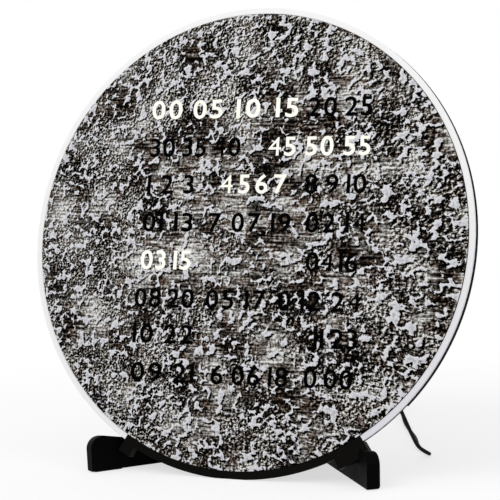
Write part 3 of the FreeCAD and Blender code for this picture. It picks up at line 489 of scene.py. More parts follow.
def lit_window(face):
    """Frosted acrylic with lamps behind it: even warm white that falls a little between the lamps."""
    made, tree, place = finish("frosted_acrylic_lit")
    # The lamps are about 17 mm apart.
    cloud = node(tree, "ShaderNodeTexNoise", {"Vector": place, "Scale": 1 / (17 * MM), "Detail": 1.0})
    glow = node(
        tree, "ShaderNodeValToRGB", {0: cloud}, ((0.3, colour("#FAF9EC")), (0.6, (*face.lit_colour, 1.0)))
    )
    shader = node(
        tree,
        "ShaderNodeBsdfPrincipled",
        {
            "Base Color": colour("#20201E"),
            "Roughness": 0.5,
            "Emission Color": glow,
            "Emission Strength": 0.98,
        },
    )
    node(tree, "ShaderNodeOutputMaterial", {"Surface": shader})
    return made


def dark_window():
    """Smoked acrylic with no light behind it: near black, with a trace of the ground's grain."""
    made, tree, place = finish("smoked_acrylic_dark")
    grain = node(tree, "ShaderNodeTexNoise", {"Vector": place, "Scale": 1 / (2.4 * MM), "Detail": 2.0})
    skin = node(
        tree,
        "ShaderNodeValToRGB",
        {0: grain},
        ((0.35, colour("#000000")), (0.6, colour("#020202")), (0.8, colour("#0F0E0D"))),
    )
    shader = node(
        tree,
        "ShaderNodeBsdfPrincipled",
        {"Base Color": skin, "Roughness": 0.5, "IOR": 1.49, "Specular IOR Level": 0.01},
    )
    node(tree, "ShaderNodeOutputMaterial", {"Surface": shader})
    return made


def opal_acrylic(name, tone):
    """Cast opal acrylic, lit faintly from within: milky and satin, with faint clouds 70 mm wide, and a
    painted shade that makes it greyer towards the lower right."""
    made, tree, place = finish(name)
    cloud = node(tree, "ShaderNodeTexNoise", {"Vector": place, "Scale": 1 / (70 * MM), "Detail": 2.0})
    # Painted shade: a slant across the ring that makes it greyer towards its lower right.
    painted_shade_slant = node(
        tree,
        "ShaderNodeMapping",
        {
            "Vector": place,
            "Location": CENTRE,
            "Rotation": (0.0, math.radians(52), 0.0),
            "Scale": (0.44, 1.0, 0.44),
        },
        vector_type="TEXTURE",
    )
    painted_shade_lower_right = node(tree, "ShaderNodeSeparateXYZ", {0: painted_shade_slant}).outputs["X"]
    level = node(tree, "ShaderNodeMath", {0: cloud, 1: 0.12, 2: painted_shade_lower_right}, operation="MULTIPLY_ADD")
    # The lavender grey at the ramp's upper end is the colour of the painted shade.
    skin = node(
        tree, "ShaderNodeValToRGB", {0: level}, ((0.32, (*tone, 1.0)), (0.56, colour("#E2E1E8")))
    )
    haze = node(tree, "ShaderNodeTexNoise", {"Vector": place, "Scale": 1 / (1.1 * MM), "Detail": 1.0})
    bump = node(tree, "ShaderNodeBump", {"Height": haze, "Strength": 0.05, "Distance": 0.05 * MM})
    shader = node(
        tree,
        "ShaderNodeBsdfPrincipled",
        {
            "Base Color": skin,
            "Roughness": 0.38,
            "IOR": 1.49,
            "Emission Color": skin,
            "Emission Strength": 0.14,
            "Normal": bump,
        },
    )
    node(tree, "ShaderNodeOutputMaterial", {"Surface": shader})
    return made


def moulded(name, tone, grit, roughness, gloss=0.5, relief=0.12):
    """Moulded or coated plastic, resin or rubber: a grain as many mm wide as grit says, and a sheen that
    varies in patches."""
    made, tree, place = finish(name)
    grain = node(
        tree,
        "ShaderNodeTexNoise",
        {"Vector": place, "Scale": 1 / (grit * MM), "Detail": 2.0, "Roughness": 0.6},
    )
    patch = node(tree, "ShaderNodeTexNoise", {"Vector": place, "Scale": 1 / (45 * MM), "Detail": 3.0})
    both = node(tree, "ShaderNodeMix", {0: 0.35, 2: grain, 3: patch}, data_type="FLOAT")
    skin = node(tree, "ShaderNodeValToRGB", {0: both}, ((0.35, shade(tone, 0.6)), (0.65, shade(tone, 1.4))))
    sheen = node(
        tree,
        "ShaderNodeMapRange",
        {
            "Value": patch,
            "From Min": 0.3,
            "From Max": 0.7,
            "To Min": roughness - 0.07,
            "To Max": roughness + 0.07,
        },
    )
    bump = node(tree, "ShaderNodeBump", {"Height": grain, "Strength": relief, "Distance": 0.15 * MM})
    shader = node(
        tree,
        "ShaderNodeBsdfPrincipled",
        {"Base Color": skin, "Roughness": sheen, "Specular IOR Level": gloss, "Normal": bump},
    )
    node(tree, "ShaderNodeOutputMaterial", {"Surface": shader})
    return made


def sheet_metal(name, tone, roughness, stretch=(1.0, 1.0, 1.0)):
    """Plated or drawn metal: a fine speckle that stretch can draw out, and dull patches about 17 mm wide."""
    made, tree, place = finish(name)
    drawn = node(tree, "ShaderNodeMapping", {"Vector": place, "Scale": stretch})
    speckle = node(
        tree,
        "ShaderNodeTexNoise",
        {"Vector": drawn, "Scale": 1 / (1.1 * MM), "Detail": 2.0, "Roughness": 0.6},
    )
    patch = node(tree, "ShaderNodeTexNoise", {"Vector": place, "Scale": 1 / (17 * MM), "Detail": 2.0})
    skin = node(tree, "ShaderNodeValToRGB", {0: patch}, ((0.3, shade(tone, 0.82)), (0.7, shade(tone, 1.12))))
    sheen = node(
        tree,
        "ShaderNodeMapRange",
        {
            "Value": speckle,
            "From Min": 0.3,
            "From Max": 0.7,
            "To Min": roughness - 0.1,
            "To Max": roughness + 0.1,
        },
    )
    bump = node(tree, "ShaderNodeBump", {"Height": speckle, "Strength": 0.08, "Distance": 0.05 * MM})
    shader = node(
        tree,
        "ShaderNodeBsdfPrincipled",
        {"Base Color": skin, "Metallic": 1.0, "Roughness": sheen, "Normal": bump},
    )
    node(tree, "ShaderNodeOutputMaterial", {"Surface": shader})
    return made


def circuit_laminate():
    """Glass-fibre board under green solder mask: copper fields 6 mm wide show through, with a fine weave."""
    made, tree, place = finish("fibreglass_solder_mask")
    fields = node(
        tree, "ShaderNodeTexVoronoi", {"Vector": place, "Scale": 1 / (6 * MM)}, feature="DISTANCE_TO_EDGE"
    )
    weave = node(tree, "ShaderNodeTexNoise", {"Vector": place, "Scale": 1 / (1.4 * MM), "Detail": 1.0})
    skin = node(
        tree, "ShaderNodeValToRGB", {0: fields}, ((0.04, colour("#123F2A")), (0.09, colour("#1C5A3C")))
    )
    bump = node(tree, "ShaderNodeBump", {"Height": weave, "Strength": 0.1, "Distance": 0.05 * MM})
    shader = node(
        tree,
        "ShaderNodeBsdfPrincipled",
        {"Base Color": skin, "Roughness": 0.35, "IOR": 1.52, "Normal": bump},
    )
    node(tree, "ShaderNodeOutputMaterial", {"Surface": shader})
    return made


def woven_tie():
    """Woven nylon hook-and-loop band: a matt black cloth of 0.7 mm loops, with a soft sheen where it curves
    away."""
    made, tree, place = finish("woven_nylon_hook_and_loop")
    loops = node(
        tree, "ShaderNodeTexVoronoi", {"Vector": place, "Scale": 1 / (0.7 * MM)}
    ).outputs["Distance"]
    skin = node(tree, "ShaderNodeValToRGB", {0: loops}, ((0.1, colour("#1E1E1D")), (0.7, colour("#080808"))))
    bump = node(tree, "ShaderNodeBump", {"Height": loops, "Strength": 0.7, "Distance": 0.3 * MM}, invert=True)
    shader = node(
        tree,
        "ShaderNodeBsdfPrincipled",
        {"Base Color": skin, "Roughness": 0.9, "Sheen Weight": 0.3, "Normal": bump},
    )
    node(tree, "ShaderNodeOutputMaterial", {"Surface": shader})
    return made


# ---------------------------------------------------------------- helpers


def dress(material, *nodes):
    """Puts a finish on CAD nodes."""
    for name in nodes:
        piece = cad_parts[name]
        piece.data.materials.clear()
        piece.data.materials.append(material)


def only(*pieces):
    """Selects these objects and nothing else; the first is the active one."""
    bpy.ops.object.select_all(action="DESELECT")
    for piece in pieces:
        piece.select_set(True)
    bpy.context.view_layer.objects.active = pieces[0]


def place_piece(piece, name, material, body=BODY):
    """Names a finished piece, gives it its finish, and lets it ride on its body."""
    piece.name = name
    piece.data.name = name
    piece.data.materials.clear()
    piece.data.materials.append(material)
    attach(piece, body)


def twin(context, source):
    """A copy of an object, with a mesh of its own."""
    piece = source.copy()
    piece.data = source.data.copy()
    context.collection.objects.link(piece)
    return piece


def merged_copy(context, node_name):
    """A copy of a CAD node with its triangles joined, selected and active."""
    piece = twin(context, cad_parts[node_name])
    piece.parent = None
    piece.matrix_world = Matrix.Identity(4)
    only(piece)
    bpy.ops.object.mode_set(mode="EDIT")
    bpy.ops.mesh.select_all(action="SELECT")
    bpy.ops.mesh.remove_doubles(threshold=SAME_PLACE)
    bpy.ops.mesh.dissolve_limited(angle_limit=math.radians(0.5))
    bpy.ops.object.mode_set(mode="OBJECT")
    return piece


def close_mesh(threshold=SAME_PLACE):
    """Joins the doubled points of the mesh in edit mode, turns its faces outwards and leaves edit mode."""
    bpy.ops.mesh.select_all(action="SELECT")
    bpy.ops.mesh.remove_doubles(threshold=threshold)
    bpy.ops.mesh.normals_make_consistent(inside=False)
    bpy.ops.object.mode_set(mode="OBJECT")


def stand_section(width, height, middle):
    """Stands the selected flat square up in the plane of X and Z, and gives it its size and place."""
    bpy.ops.transform.rotate(value=math.pi / 2, orient_axis="X", center_override=(0, 0, 0))
    bpy.ops.transform.resize(value=(width, 1.0, height), center_override=(0, 0, 0))
    bpy.ops.transform.translate(value=middle)


def spin_section(start, sweep, steps):
    """Turns the section to the start and spins it about Z over the sweep. Both operators turn the other way
    for an angle above 0."""
    bpy.ops.mesh.select_all(action="SELECT")
    bpy.ops.transform.rotate(value=-start, orient_axis="Z", center_override=(0, 0, 0))
    bpy.ops.mesh.spin(steps=steps, angle=-sweep, center=(0, 0, 0), axis=(0, 0, 1))
    close_mesh()


def ease_edges(piece, width):
    """Rounds a piece's sharp edges and smooths it, with its flat faces kept even."""
    only(piece)
    bevel = piece.modifiers.new("eased_edges", "BEVEL")
    bevel.width = width
    bevel.segments = 2
    bevel.limit_method = "ANGLE"
    bevel.angle_limit = math.radians(40)
    bpy.ops.object.modifier_apply(modifier=bevel.name)
    bpy.ops.object.shade_smooth_by_angle(angle=SMOOTH_ANGLE)
    even = piece.modifiers.new("even_shading", "WEIGHTED_NORMAL")
    even.keep_sharp = True
    bpy.ops.object.modifier_apply(modifier=even.name)


def cut_out(piece, cutters):
    """Cuts the joined cutters out of a piece and removes them."""
    only(*cutters)
    bpy.ops.object.join()
    cutter = bpy.context.object
    bpy.ops.object.transform_apply(location=True, rotation=True, scale=True)
    only(piece)
    cut = piece.modifiers.new("cut", "BOOLEAN")
    cut.operation = "DIFFERENCE"
    cut.solver = "EXACT"
    cut.use_self = True
    cut.object = cutter
    bpy.ops.object.modifier_apply(modifier=cut.name)
    bpy.data.objects.remove(cutter)
    # The cut leaves slivers, which are joined away.
    bpy.ops.object.mode_set(mode="EDIT")
    bpy.ops.mesh.select_all(action="SELECT")
    bpy.ops.mesh.remove_doubles(threshold=0.01 * MM)
    bpy.ops.mesh.dissolve_degenerate(threshold=0.005 * MM)
    bpy.ops.object.mode_set(mode="OBJECT")


# ---------------------------------------------------------------- pieces


class NUMBER_CLOCK_OT_stage(bpy.types.Operator):
    """Pale floor, soft studio light and the camera"""

    bl_idname = "number_clock.stage"
    bl_label = "Stage"

    def execute(self, context):
        stage = context.scene.number_clock_stage
        self.add_camera(context)
        self.add_floor(context, stage)
        self.add_daylight(context, stage)
        self.add_lamps(context, stage)
        context.scene.view_settings.view_transform = "Standard"
        return {"FINISHED"}

    def add_camera(self, context):
        """The camera looks at the face's middle and is rolled a little."""
        aim = (CENTRE - CAMERA_PLACE).normalized()
        right = aim.cross(Vector((0, 0, 1))).normalized()
        up = right.cross(aim)
        across = right * math.cos(CAMERA_ROLL) + up * math.sin(CAMERA_ROLL)
        along = up * math.cos(CAMERA_ROLL) - right * math.sin(CAMERA_ROLL)
        turn = Matrix((across, along, -aim)).transposed()
        bpy.ops.object.camera_add(location=CAMERA_PLACE, rotation=turn.to_euler())
        camera = context.object
        camera.data.lens = CAMERA_LENS
        camera.data.sensor_width = 36.0
        camera.data.shift_x = CAMERA_SHIFT[0]
        camera.data.shift_y = CAMERA_SHIFT[1]
        camera.data.clip_end = 50.0
        context.scene.camera = camera

    def seen_directly(self, tree):
        """1 for what the camera sees, in gloss and glass too, and 0 for the light that falls on things."""
        path = node(tree, "ShaderNodeLightPath")
        seen = node(
            tree,
            "ShaderNodeMath",
            {0: path.outputs["Is Camera Ray"], 1: path.outputs["Is Glossy Ray"]},
            operation="MAXIMUM",
        )
        return node(
            tree, "ShaderNodeMath", {0: seen, 1: path.outputs["Is Transmission Ray"]}, operation="MAXIMUM"
        )

    def add_floor(self, context, stage):
        """Pale floor that fades into the white background, and is brightened where it is seen."""
        fade_start = 0.30  # metres from the clock
        fade_end = 0.85
        glow = 0.66
        bpy.ops.mesh.primitive_grid_add(x_subdivisions=8, y_subdivisions=8, size=8.0)
        floor = context.object
        floor.name = "studio_floor"
        made, tree, place = finish("pale_studio_floor")
        reach = node(tree, "ShaderNodeVectorMath", {0: place}, operation="LENGTH").outputs["Value"]
        fade = node(
            tree,
            "ShaderNodeMapRange",
            {"Value": reach, "From Min": fade_start, "From Max": fade_end},
            interpolation_type="SMOOTHSTEP",
        )
        seen = self.seen_directly(tree)
        lift = node(tree, "ShaderNodeMath", {0: seen, 1: glow}, operation="MULTIPLY")
        paint = node(
            tree,
            "ShaderNodeBsdfPrincipled",
            {
                "Base Color": (*stage.floor_colour, 1.0),
                "Roughness": 0.9,
                "Specular IOR Level": 0.0,
                "Emission Color": (1.0, 1.0, 1.0, 1.0),
                "Emission Strength": lift,
            },
        )
        white = node(tree, "ShaderNodeEmission", {"Color": (1.0, 1.0, 1.0, 1.0), "Strength": 1.0})
        away = node(tree, "ShaderNodeMath", {0: fade, 1: seen}, operation="MULTIPLY")
        mixed = node(tree, "ShaderNodeMixShader", {0: away, 1: paint, 2: white})
        node(tree, "ShaderNodeOutputMaterial", {"Surface": mixed})
        floor.data.materials.append(made)

    def add_daylight(self, context, stage):
        """Even light from all round. The background itself is seen as white."""
        world = bpy.data.worlds.new("studio_daylight")
        world.use_nodes = True
        tree = world.node_tree
        tree.nodes.clear()
        seen = self.seen_directly(tree)
        level = node(tree, "ShaderNodeMapRange", {"Value": seen, "To Min": stage.daylight, "To Max": 1.0})
        sky = node(tree, "ShaderNodeBackground", {"Color": (1.0, 1.0, 1.0, 1.0), "Strength": level})
        node(tree, "ShaderNodeOutputWorld", {"Surface": sky})
        context.scene.world = world

    def add_lamps(self, context, stage):
        """A large lamp in front on the left and a smaller one on the right, both aimed at the face."""
        for name, place, size, power in (
            ("key_lamp", (-0.9, -2.2, 2.0), 1.8, stage.key_power),
            ("side_lamp", (2.2, -0.6, 1.2), 1.4, stage.side_power),
        ):
            spot = Vector(place)
            aim = (CENTRE - spot).to_track_quat("-Z", "Y").to_euler()
            bpy.ops.object.light_add(type="AREA", location=spot, rotation=aim)
            lamp = context.object
            lamp.name = name
            lamp.data.size = size
            lamp.data.energy = power


class NUMBER_CLOCK_OT_power_lead(bpy.types.Operator):
    """Power lead with its plugs and tie: down from its relief, along the table and into a coil"""

    bl_idname = "number_clock.power_lead"
    bl_label = "Power Lead"

    def execute(self, context):
        lead = context.scene.number_clock_lead
        # Moulded PVC: black, with a softer sheen than ABS.
        pvc = moulded("moulded_pvc_plug", colour("#101010"), 0.7, 0.45, gloss=0.3)
        dress(pvc, "dc_plug", "strain_relief")
        # Nickel-plated steel: bright, with a faint speckle.
        dress(sheet_metal("nickel_plated_shell", colour("#B0AEA9"), 0.2), "usb_shell")
        grip = merged_copy(context, "usb_plug")
        ease_edges(grip, 0.5 * MM)
        place_piece(grip, "supply_plug_grip", pvc)
        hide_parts("usb_plug")
        tie = self.add_tie(context, lead)
        points = [LEAD_EXIT, *LEAD_ROUTE, *self.coil_points(lead), *LEAD_TAIL]
        bpy.ops.curve.primitive_nurbs_path_add()
        piece = context.object
        curve = piece.data
        curve.splines.clear()
        spline = curve.splines.new("NURBS")
        spline.points.add(len(points) - 1)
        for point, place in zip(spline.points, points):
            point.co = (*(Vector(place) * MM), 1.0)
        spline.order_u = 3
        spline.use_endpoint_u = True
        curve.dimensions = "3D"
        curve.bevel_depth = lead.diameter / 2
        curve.bevel_resolution = 4
        curve.resolution_u = 8
        curve.use_fill_caps = True
        # Extruded PVC: black and smooth, with a low sheen along its length.
        sleeve = moulded("extruded_pvc_lead", colour("#040404"), 0.5, 0.6, gloss=0.05, relief=0.05)
        place_piece(piece, "power_lead", sleeve)
        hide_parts("cord", "cord_coil", "cord_tail")
        return {"FINISHED"}

    def coil_points(self, lead):
        """The wound turns. Each layer has an outer and an inner turn, and near the end of each turn the lead
        steps across or up to the next."""
        thick = lead.diameter / MM
        # The curve passes inside its points, so they stand a little further out.
        corner = 1 / math.cos(math.pi / lead.turn_steps)
        seats = []
        for layer in range(COIL_LAYERS):
            rings = [COIL_OUTER_TURN, COIL_INNER_TURN]
            if layer % 2:
                rings.reverse()
            seats += [(ring, COIL_LIFT + (layer + 0.5) * thick) for ring in rings]
        points = []
        for step in range(1, round(COIL_TURNS * lead.turn_steps)):
            turns = step / lead.turn_steps
            seat = int(turns)
            share = min(1.0, max(0.0, (turns - seat - STEP_START) / STEP_LENGTH))
            share = share * share * (3 - 2 * share)
            here = seats[seat]
            there = seats[min(seat + 1, len(seats) - 1)]
            radius = (here[0] + (there[0] - here[0]) * share) * corner
            level = here[1] + (there[1] - here[1]) * share
            bearing = COIL_START + 2 * math.pi * turns
            x = COIL_CENTRE[0] + radius * math.cos(bearing)
            y = COIL_CENTRE[1] + radius * math.sin(bearing)
            points.append((x, y, level))
        return points

    def add_tie(self, context, lead):
        """A fabric band round all turns of the coil."""
        thick = lead.diameter / MM
        low = COIL_LIFT - TIE_SLACK
        high = COIL_LIFT + COIL_LAYERS * thick + TIE_SLACK
        inner = COIL_INNER_TURN - thick / 2 - TIE_SLACK
        outer = COIL_OUTER_TURN + thick / 2 + TIE_SLACK
        middle = ((inner + outer) / 2 * MM, 0.0, (low + high) / 2 * MM)
        bpy.ops.mesh.primitive_plane_add(size=1.0)
        band = context.object
        bpy.ops.object.mode_set(mode="EDIT")
        stand_section((outer - inner) * MM, (high - low) * MM, middle)
        bpy.ops.mesh.bevel(offset=TIE_CORNER, segments=4, affect="VERTICES")
        bpy.ops.mesh.delete(type="ONLY_FACE")
        spin_section(-TIE_SWEEP / 2, TIE_SWEEP, steps=6)
        only(band)
        wall = band.modifiers.new("thickness", "SOLIDIFY")
        wall.thickness = TIE_CLOTH
        wall.offset = 0.0
        bpy.ops.object.modifier_apply(modifier=wall.name)
        soft = band.modifiers.new("soft_edges", "BEVEL")
        soft.width = 0.15 * MM
        soft.segments = 2
        bpy.ops.object.modifier_apply(modifier=soft.name)
        place = Matrix.Translation((COIL_CENTRE[0] * MM, COIL_CENTRE[1] * MM, 0.0))
        band.matrix_world = place @ Matrix.Rotation(lead.tie_bearing, 4, "Z")
        bpy.ops.object.transform_apply(location=True, rotation=True, scale=True)
        bpy.ops.object.shade_smooth_by_angle(angle=SMOOTH_ANGLE)
        place_piece(band, "coil_tie_band", woven_tie())
        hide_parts("coil_tie")
        return band


class NUMBER_CLOCK_OT_face(bpy.types.Operator):
    """Stone-print face plate, diffuser sheet and pale ring"""

    bl_idname = "number_clock.face"
    bl_label = "Face and Ring"

    def execute(self, context):
        face = context.scene.number_clock_face
        dress(stone_print(face), "face_plate")
        opal = opal_acrylic("opal_acrylic_ring", face.ring_colour)
        ring = merged_copy(context, "glow_ring")
        ease_edges(ring, 0.3 * MM)
        place_piece(ring, "opal_ring", opal)
        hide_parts("glow_ring")
        dress(opal_acrylic("opal_acrylic_diffuser", shade(face.ring_colour, 0.9)[:3]), "diffuser_sheet")
        return {"FINISHED"}


class NUMBER_CLOCK_OT_numbers(bpy.types.Operator):
    """Lit and dark number groups, as thin windows in the face"""

    bl_idname = "number_clock.numbers"
    bl_label = "Numbers"

    def execute(self, context):
        face = context.scene.number_clock_face
        shapes = self.figures(context, face)
        for name, wanted, material, slot in (
            ("lit_numbers", LIT, lit_window(face), "lamp_white"),
            ("dark_numbers", DARK, dark_window(), "black_plastic"),
        ):
            copies = []
            for base, groups in NUMBER_ROWS:
                for text, left, right, state in groups:
                    if state == wanted:
                        copies += self.group(context, shapes, text, left * MM, right * MM, base * MM)
            only(*copies)
            bpy.ops.object.join()
            bpy.ops.object.transform_apply(location=True, rotation=True, scale=True)
            place_piece(context.object, name, material)
        for shape in shapes.values():
            bpy.data.objects.remove(shape)
        return {"FINISHED"}

    def figures(self, context, face):
        """One thin flat shape for each figure, its lower left corner at the origin."""
        # Shares of the type's size, before the figures are stretched.
        thick = 0.1
        same_place = 0.0005
        shapes = {}
        for figure in "0123456789":
            bpy.ops.object.text_add()
            text = context.object
            text.data.body = figure
            # The 4 has a sharp inner corner, which heavier strokes would fold over.
            text.data.offset = 0.0 if figure == "4" else face.figure_weight
            text.data.extrude = thick / 2
            text.data.resolution_u = 4
            only(text)
            bpy.ops.object.convert(target="MESH")
            bpy.ops.object.mode_set(mode="EDIT")
            close_mesh(same_place)
            shapes[figure] = context.object
        wide, high = shapes["0"].dimensions.xy
        low = min(v.co.y for v in shapes["0"].data.vertices)
        stretch = Vector((face.figure_width / wide, face.figure_height / high, WINDOW_DEPTH / thick))
        for shape in shapes.values():
            left = min(v.co.x for v in shape.data.vertices)
            shape.location = Vector((-left, -low, 0.0)) * stretch
            shape.scale = stretch
            only(shape)
            bpy.ops.object.transform_apply(location=True, rotation=True, scale=True)
        return shapes

    def group(self, context, shapes, text, left, right, base):
        """Copies of the figures from the group's left edge to its right edge. The gap between two numbers is
        wider than that between two figures, and the figures are narrowed or widened to leave fair gaps."""
        widths = [max(v.co.x for v in shapes[c].data.vertices) for c in text if c != " "]
        shares = [NUMBER_GAP if text[k] == " " else 1.0 for k in range(1, len(text)) if text[k - 1] != " "]
        total = sum(widths)
        room = right - left
        gap = min(FIGURE_GAP_MAX, max(FIGURE_GAP_MIN, (room - total) / sum(shares)))
        widen = min(WIDEST_FIGURE, (room - gap * sum(shares)) / total)
        gap = (room - widen * total) / sum(shares)
        copies = []
        x = left
        for k, figure in enumerate(text.replace(" ", "")):
            copy = twin(context, shapes[figure])
            place = Matrix.Translation((x, base, WINDOW_DEPTH / 2)) @ Matrix.Diagonal((widen, 1.0, 1.0, 1.0))
            copy.matrix_world = CLOCK_FRAME @ place
            copies.append(copy)
            x += widen * widths[k]
            if k < len(shares):
                x += shares[k] * gap
        return copies


class NUMBER_CLOCK_OT_housing(bpy.types.Operator):
    """Back frame with its lip, rear housing, buttons, inlet and wall hanger"""

    bl_idname = "number_clock.housing"
    bl_label = "Housing"

    def execute(self, context):
        case = context.scene.number_clock_case
        # Black ABS with a fine mould grain: the frame's edge shows as a thin black line.
        frame_black = moulded("black_abs_frame", shade(case.case_colour, 0.25), 0.8, 0.6, gloss=0.02)
        dress(frame_black, "back_frame")
        self.add_lip(context, case, frame_black)
        # Black ABS with a coarser grain: a dull, even back that hides marks.
        housing_black = moulded("black_abs_housing", case.case_colour, 1.0, 0.55, gloss=0.4)
        dress(housing_black, "rear_housing")
        self.add_corner_posts(context, housing_black)
        # Polished ABS caps: a little glossier than the housing round them.
        cap_black = moulded("black_abs_button", shade(case.case_colour, 1.1), 0.6, 0.35)
        for name in ("hour_button", "minute_button", "brightness_button"):
            cap = merged_copy(context, name)
            ease_edges(cap, 0.4 * MM)
            place_piece(cap, f"{name}_cap", cap_black, f"{name}_body")
            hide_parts(name)
        # Glass-filled nylon: dark grey-black and matt, round the inlet's contacts.
        dress(moulded("black_nylon_inlet", colour("#0F0F0F"), 0.5, 0.45), "dc_jack")
        # Rolled zinc-plated steel: grey, with a fine speckle that runs through the sheet.
        plate = merged_copy(context, "hanger_plate")
        ease_edges(plate, 0.2 * MM)
        rolled = sheet_metal("rolled_zinc_steel", colour("#9B9C9E"), 0.34, (1.0, 0.08, 1.0))
        place_piece(plate, "hanger_sheet", rolled)
        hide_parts("hanger_plate")
        return {"FINISHED"}

    def add_corner_posts(self, context, material):
        """Thin curved posts that close the housing's rounded corners, just under its outer surface, and their
        wider feet, which do the same in its flange."""
        bpy.ops.mesh.primitive_plane_add(size=1.0)
        post = context.object
        bpy.ops.object.mode_set(mode="EDIT")
        for k, (outer, front, back) in enumerate(POST_PARTS):
            if k > 0:
                bpy.ops.mesh.select_all(action="DESELECT")
                bpy.ops.mesh.primitive_plane_add(size=1.0)
            middle = ((POST_INNER + outer) / 2 * MM, 0.0, (front + back) / 2 * MM)
            stand_section((outer - POST_INNER) * MM, (front - back) * MM, middle)
        spin_section(POST_START, POST_SWEEP, steps=6)
        posts = [post, *(twin(context, post) for _ in range(3))]
        for quarter, (side, level) in enumerate(((1, 1), (-1, 1), (-1, -1), (1, -1))):
            x = HOUSING_MIDDLE[0] + side * CORNER_MIDDLE[0]
            y = HOUSING_MIDDLE[1] + level * CORNER_MIDDLE[1]
            corner = Matrix.Translation((x * MM, y * MM, 0.0))
            turn = Matrix.Rotation(quarter * math.pi / 2, 4, "Z")
            posts[quarter].matrix_world = CLOCK_FRAME @ corner @ turn
        only(*posts)
        bpy.ops.object.join()
        bpy.ops.object.transform_apply(location=True, rotation=True, scale=True)
        bpy.ops.object.shade_smooth_by_angle(angle=SMOOTH_ANGLE)
        place_piece(context.object, "housing_corner_posts", material)

    def add_lip(self, context, case, material):
        """A lip behind the frame's edge, open where the stand is, spun from a small oblong section."""
        middle = (FRAME_RADIUS - LIP_WIDTH / 2, 0.0, FRAME_BACK - case.rim_depth / 2)
        bpy.ops.mesh.primitive_plane_add(size=1.0)
        lip = context.object
        bpy.ops.object.mode_set(mode="EDIT")
        stand_section(LIP_WIDTH, case.rim_depth, middle)
        bpy.ops.mesh.bevel(offset=LIP_CORNER, segments=2, affect="VERTICES")
        spin_section(LIP_START, LIP_SWEEP, steps=132)
        lip.matrix_world = CLOCK_FRAME
        only(lip)
        bpy.ops.object.transform_apply(location=True, rotation=True, scale=True)
        bpy.ops.object.shade_smooth_by_angle(angle=SMOOTH_ANGLE)
        place_piece(lip, "frame_lip", material)


class NUMBER_CLOCK_OT_stand(bpy.types.Operator):
    """Legs, pads, chin and stand bracket"""

    bl_idname = "number_clock.stand"
    bl_label = "Stand"

    def execute(self, context):
        case = context.scene.number_clock_case
        # Black ABS, moulded matt: deep black, with hardly any light on its faces.
        leg_black = moulded("black_abs_leg", case.leg_colour, 0.9, 0.5, gloss=0.02)
        # The same ABS in brown-black, a touch lighter than the legs.
        chin_black = moulded("brown_black_abs_chin", case.chin_colour, 0.8, 0.45, gloss=0.03)
        # Powder-coated steel: black with a slight orange peel.
        coated = moulded("black_powder_coat", colour("#080808"), 0.7, 0.5, gloss=0.04, relief=0.3)
        for name, made, material, slot in (
            ("leg_left", "left_leg_wedge", leg_black, "leg_black"),
            ("leg_right", "right_leg_wedge", leg_black, "leg_black"),
            ("chin", "chin_arc", chin_black, "chin_plastic"),
            ("stand_bracket", "bracket_sheet", coated, "bracket_black"),
        ):
            piece = merged_copy(context, name)
            ease_edges(piece, case.edge_radius)
            place_piece(piece, made, material)
            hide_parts(name)
        # Soft rubber: dark grey and dull.
        dress(moulded("black_rubber_pad", colour("#181818"), 0.6, 0.8), "leg_pads")
        return {"FINISHED"}


class NUMBER_CLOCK_OT_screws(bpy.types.Operator):
    """Screws with a cross recess in their heads"""

    bl_idname = "number_clock.screws"
    bl_label = "Screws"

    def execute(self, context):
        # Zinc-plated steel: blue-grey and bright, with a dark recess.
        steel = sheet_metal("zinc_plated_screw", colour("#898A8D"), 0.3)
        for node_name, driven in (
            ("flange_screws", BACKWARDS),
            ("spacer_screws", BACKWARDS),
            ("hanger_screws", BACKWARDS),
            ("chin_screws", BACKWARDS),
            ("bracket_screws", BACKWARDS),
            ("leg_screws", UPWARDS),
        ):
            piece = merged_copy(context, node_name)
            self.cut_crosses(context, piece, driven)
            bpy.ops.object.shade_smooth_by_angle(angle=SMOOTH_ANGLE)
            place_piece(piece, f"{node_name}_cross", steel)
            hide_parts(node_name)
        dress(steel, "board_screws")
        return {"FINISHED"}

    def cut_crosses(self, context, piece, driven):
        """Cuts a cross into each head; driven points out of the heads."""
        turn = driven.to_track_quat("Z", "Y").to_matrix().to_4x4()
        size = Matrix.Diagonal((*CROSS_BLADE, 1.0))
        blades = []
        for k, tip in enumerate(self.tips(piece, driven)):
            for quarter in range(2):
                bpy.ops.mesh.primitive_cube_add(size=1.0)
                blade = context.object
                spin = Matrix.Rotation(math.pi / 2 * quarter + SCREW_TURN * k, 4, "Z")
                blade.matrix_world = Matrix.Translation(tip) @ turn @ spin @ size
                blades.append(blade)
        cut_out(piece, blades)

    def tips(self, piece, driven):
        """The top of each head: the furthest point along driven, one for each screw."""
        tops = sorted((v.co.copy() for v in piece.data.vertices), key=lambda place: -place.dot(driven))
        tips = []
        for place in tops:
            # Across the screw, from each tip found so far.
            aside = [(place - tip) - driven * (place - tip).dot(driven) for tip in tips]
            if all(gap.length > SCREW_SPACING for gap in aside):
                tips.append(place)
        return tips


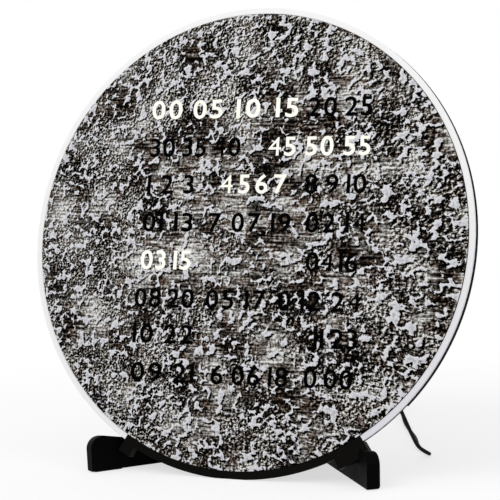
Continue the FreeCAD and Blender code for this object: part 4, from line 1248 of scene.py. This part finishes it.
class NUMBER_CLOCK_OT_electronics(bpy.types.Operator):
    """Light grid, lamp board, controller and switches inside the housing"""

    bl_idname = "number_clock.electronics"
    bl_label = "Electronics"

    def execute(self, context):
        dress(circuit_laminate(), "led_board", "controller_board", "button_board")
        # Black ABS that lets no light from one number group to the next.
        dress(moulded("black_abs_grid", colour("#151515"), 0.8, 0.6), "light_grid", "board_spacers")
        # Silicone over a phosphor: pale yellow and soft.
        dress(moulded("phosphor_silicone_lamp", colour("#E9DFB6"), 0.6, 0.3), "leds")
        # Filled epoxy: dark grey and matt.
        epoxy = moulded("black_epoxy_package", colour("#141416"), 0.5, 0.5)
        dress(epoxy, "controller_chip", "cell_holder", "push_switches")
        # Drawn aluminium: bright and pale.
        dress(sheet_metal("drawn_aluminium_can", colour("#C4C5C7"), 0.25), "capacitor")
        # Nickel-plated steel: a little warmer and darker than the can.
        dress(sheet_metal("nickel_plated_cell", colour("#B4B4B2"), 0.22), "coin_cell")
        return {"FINISHED"}


class NUMBER_CLOCK_PT_panel(bpy.types.Panel):
    """Sizes and colours, with a button for each piece"""

    bl_label = "Number Clock"
    bl_idname = "NUMBER_CLOCK_PT_panel"
    bl_space_type = "VIEW_3D"
    bl_region_type = "UI"
    bl_category = "Number Clock"

    def draw(self, context):
        for group in GROUPS:
            settings = getattr(context.scene, group)
            for name in settings.__annotations__:
                self.layout.prop(settings, name)
        for operator in OPERATORS:
            self.layout.operator(operator.bl_idname)


GROUPS = {
    "number_clock_face": NumberClockFace,
    "number_clock_case": NumberClockCase,
    "number_clock_lead": NumberClockLead,
    "number_clock_stage": NumberClockStage,
}
OPERATORS = (
    NUMBER_CLOCK_OT_stage,
    NUMBER_CLOCK_OT_power_lead,
    NUMBER_CLOCK_OT_face,
    NUMBER_CLOCK_OT_numbers,
    NUMBER_CLOCK_OT_housing,
    NUMBER_CLOCK_OT_stand,
    NUMBER_CLOCK_OT_screws,
    NUMBER_CLOCK_OT_electronics,
)


def register():
    for made in (*GROUPS.values(), *OPERATORS, NUMBER_CLOCK_PT_panel):
        bpy.utils.register_class(made)
    for name, group in GROUPS.items():
        setattr(bpy.types.Scene, name, PointerProperty(type=group))


def unregister():
    for name in GROUPS:
        delattr(bpy.types.Scene, name)
    for made in reversed((*GROUPS.values(), *OPERATORS, NUMBER_CLOCK_PT_panel)):
        bpy.utils.unregister_class(made)


def main():
    register()
    bpy.ops.object.select_all(action="DESELECT")
    bpy.ops.number_clock.stage()
    bpy.ops.number_clock.power_lead()
    bpy.ops.number_clock.face()
    bpy.ops.number_clock.numbers()
    bpy.ops.number_clock.housing()
    bpy.ops.number_clock.stand()
    bpy.ops.number_clock.screws()
    bpy.ops.number_clock.electronics()


if __name__ == "__main__":
    main()
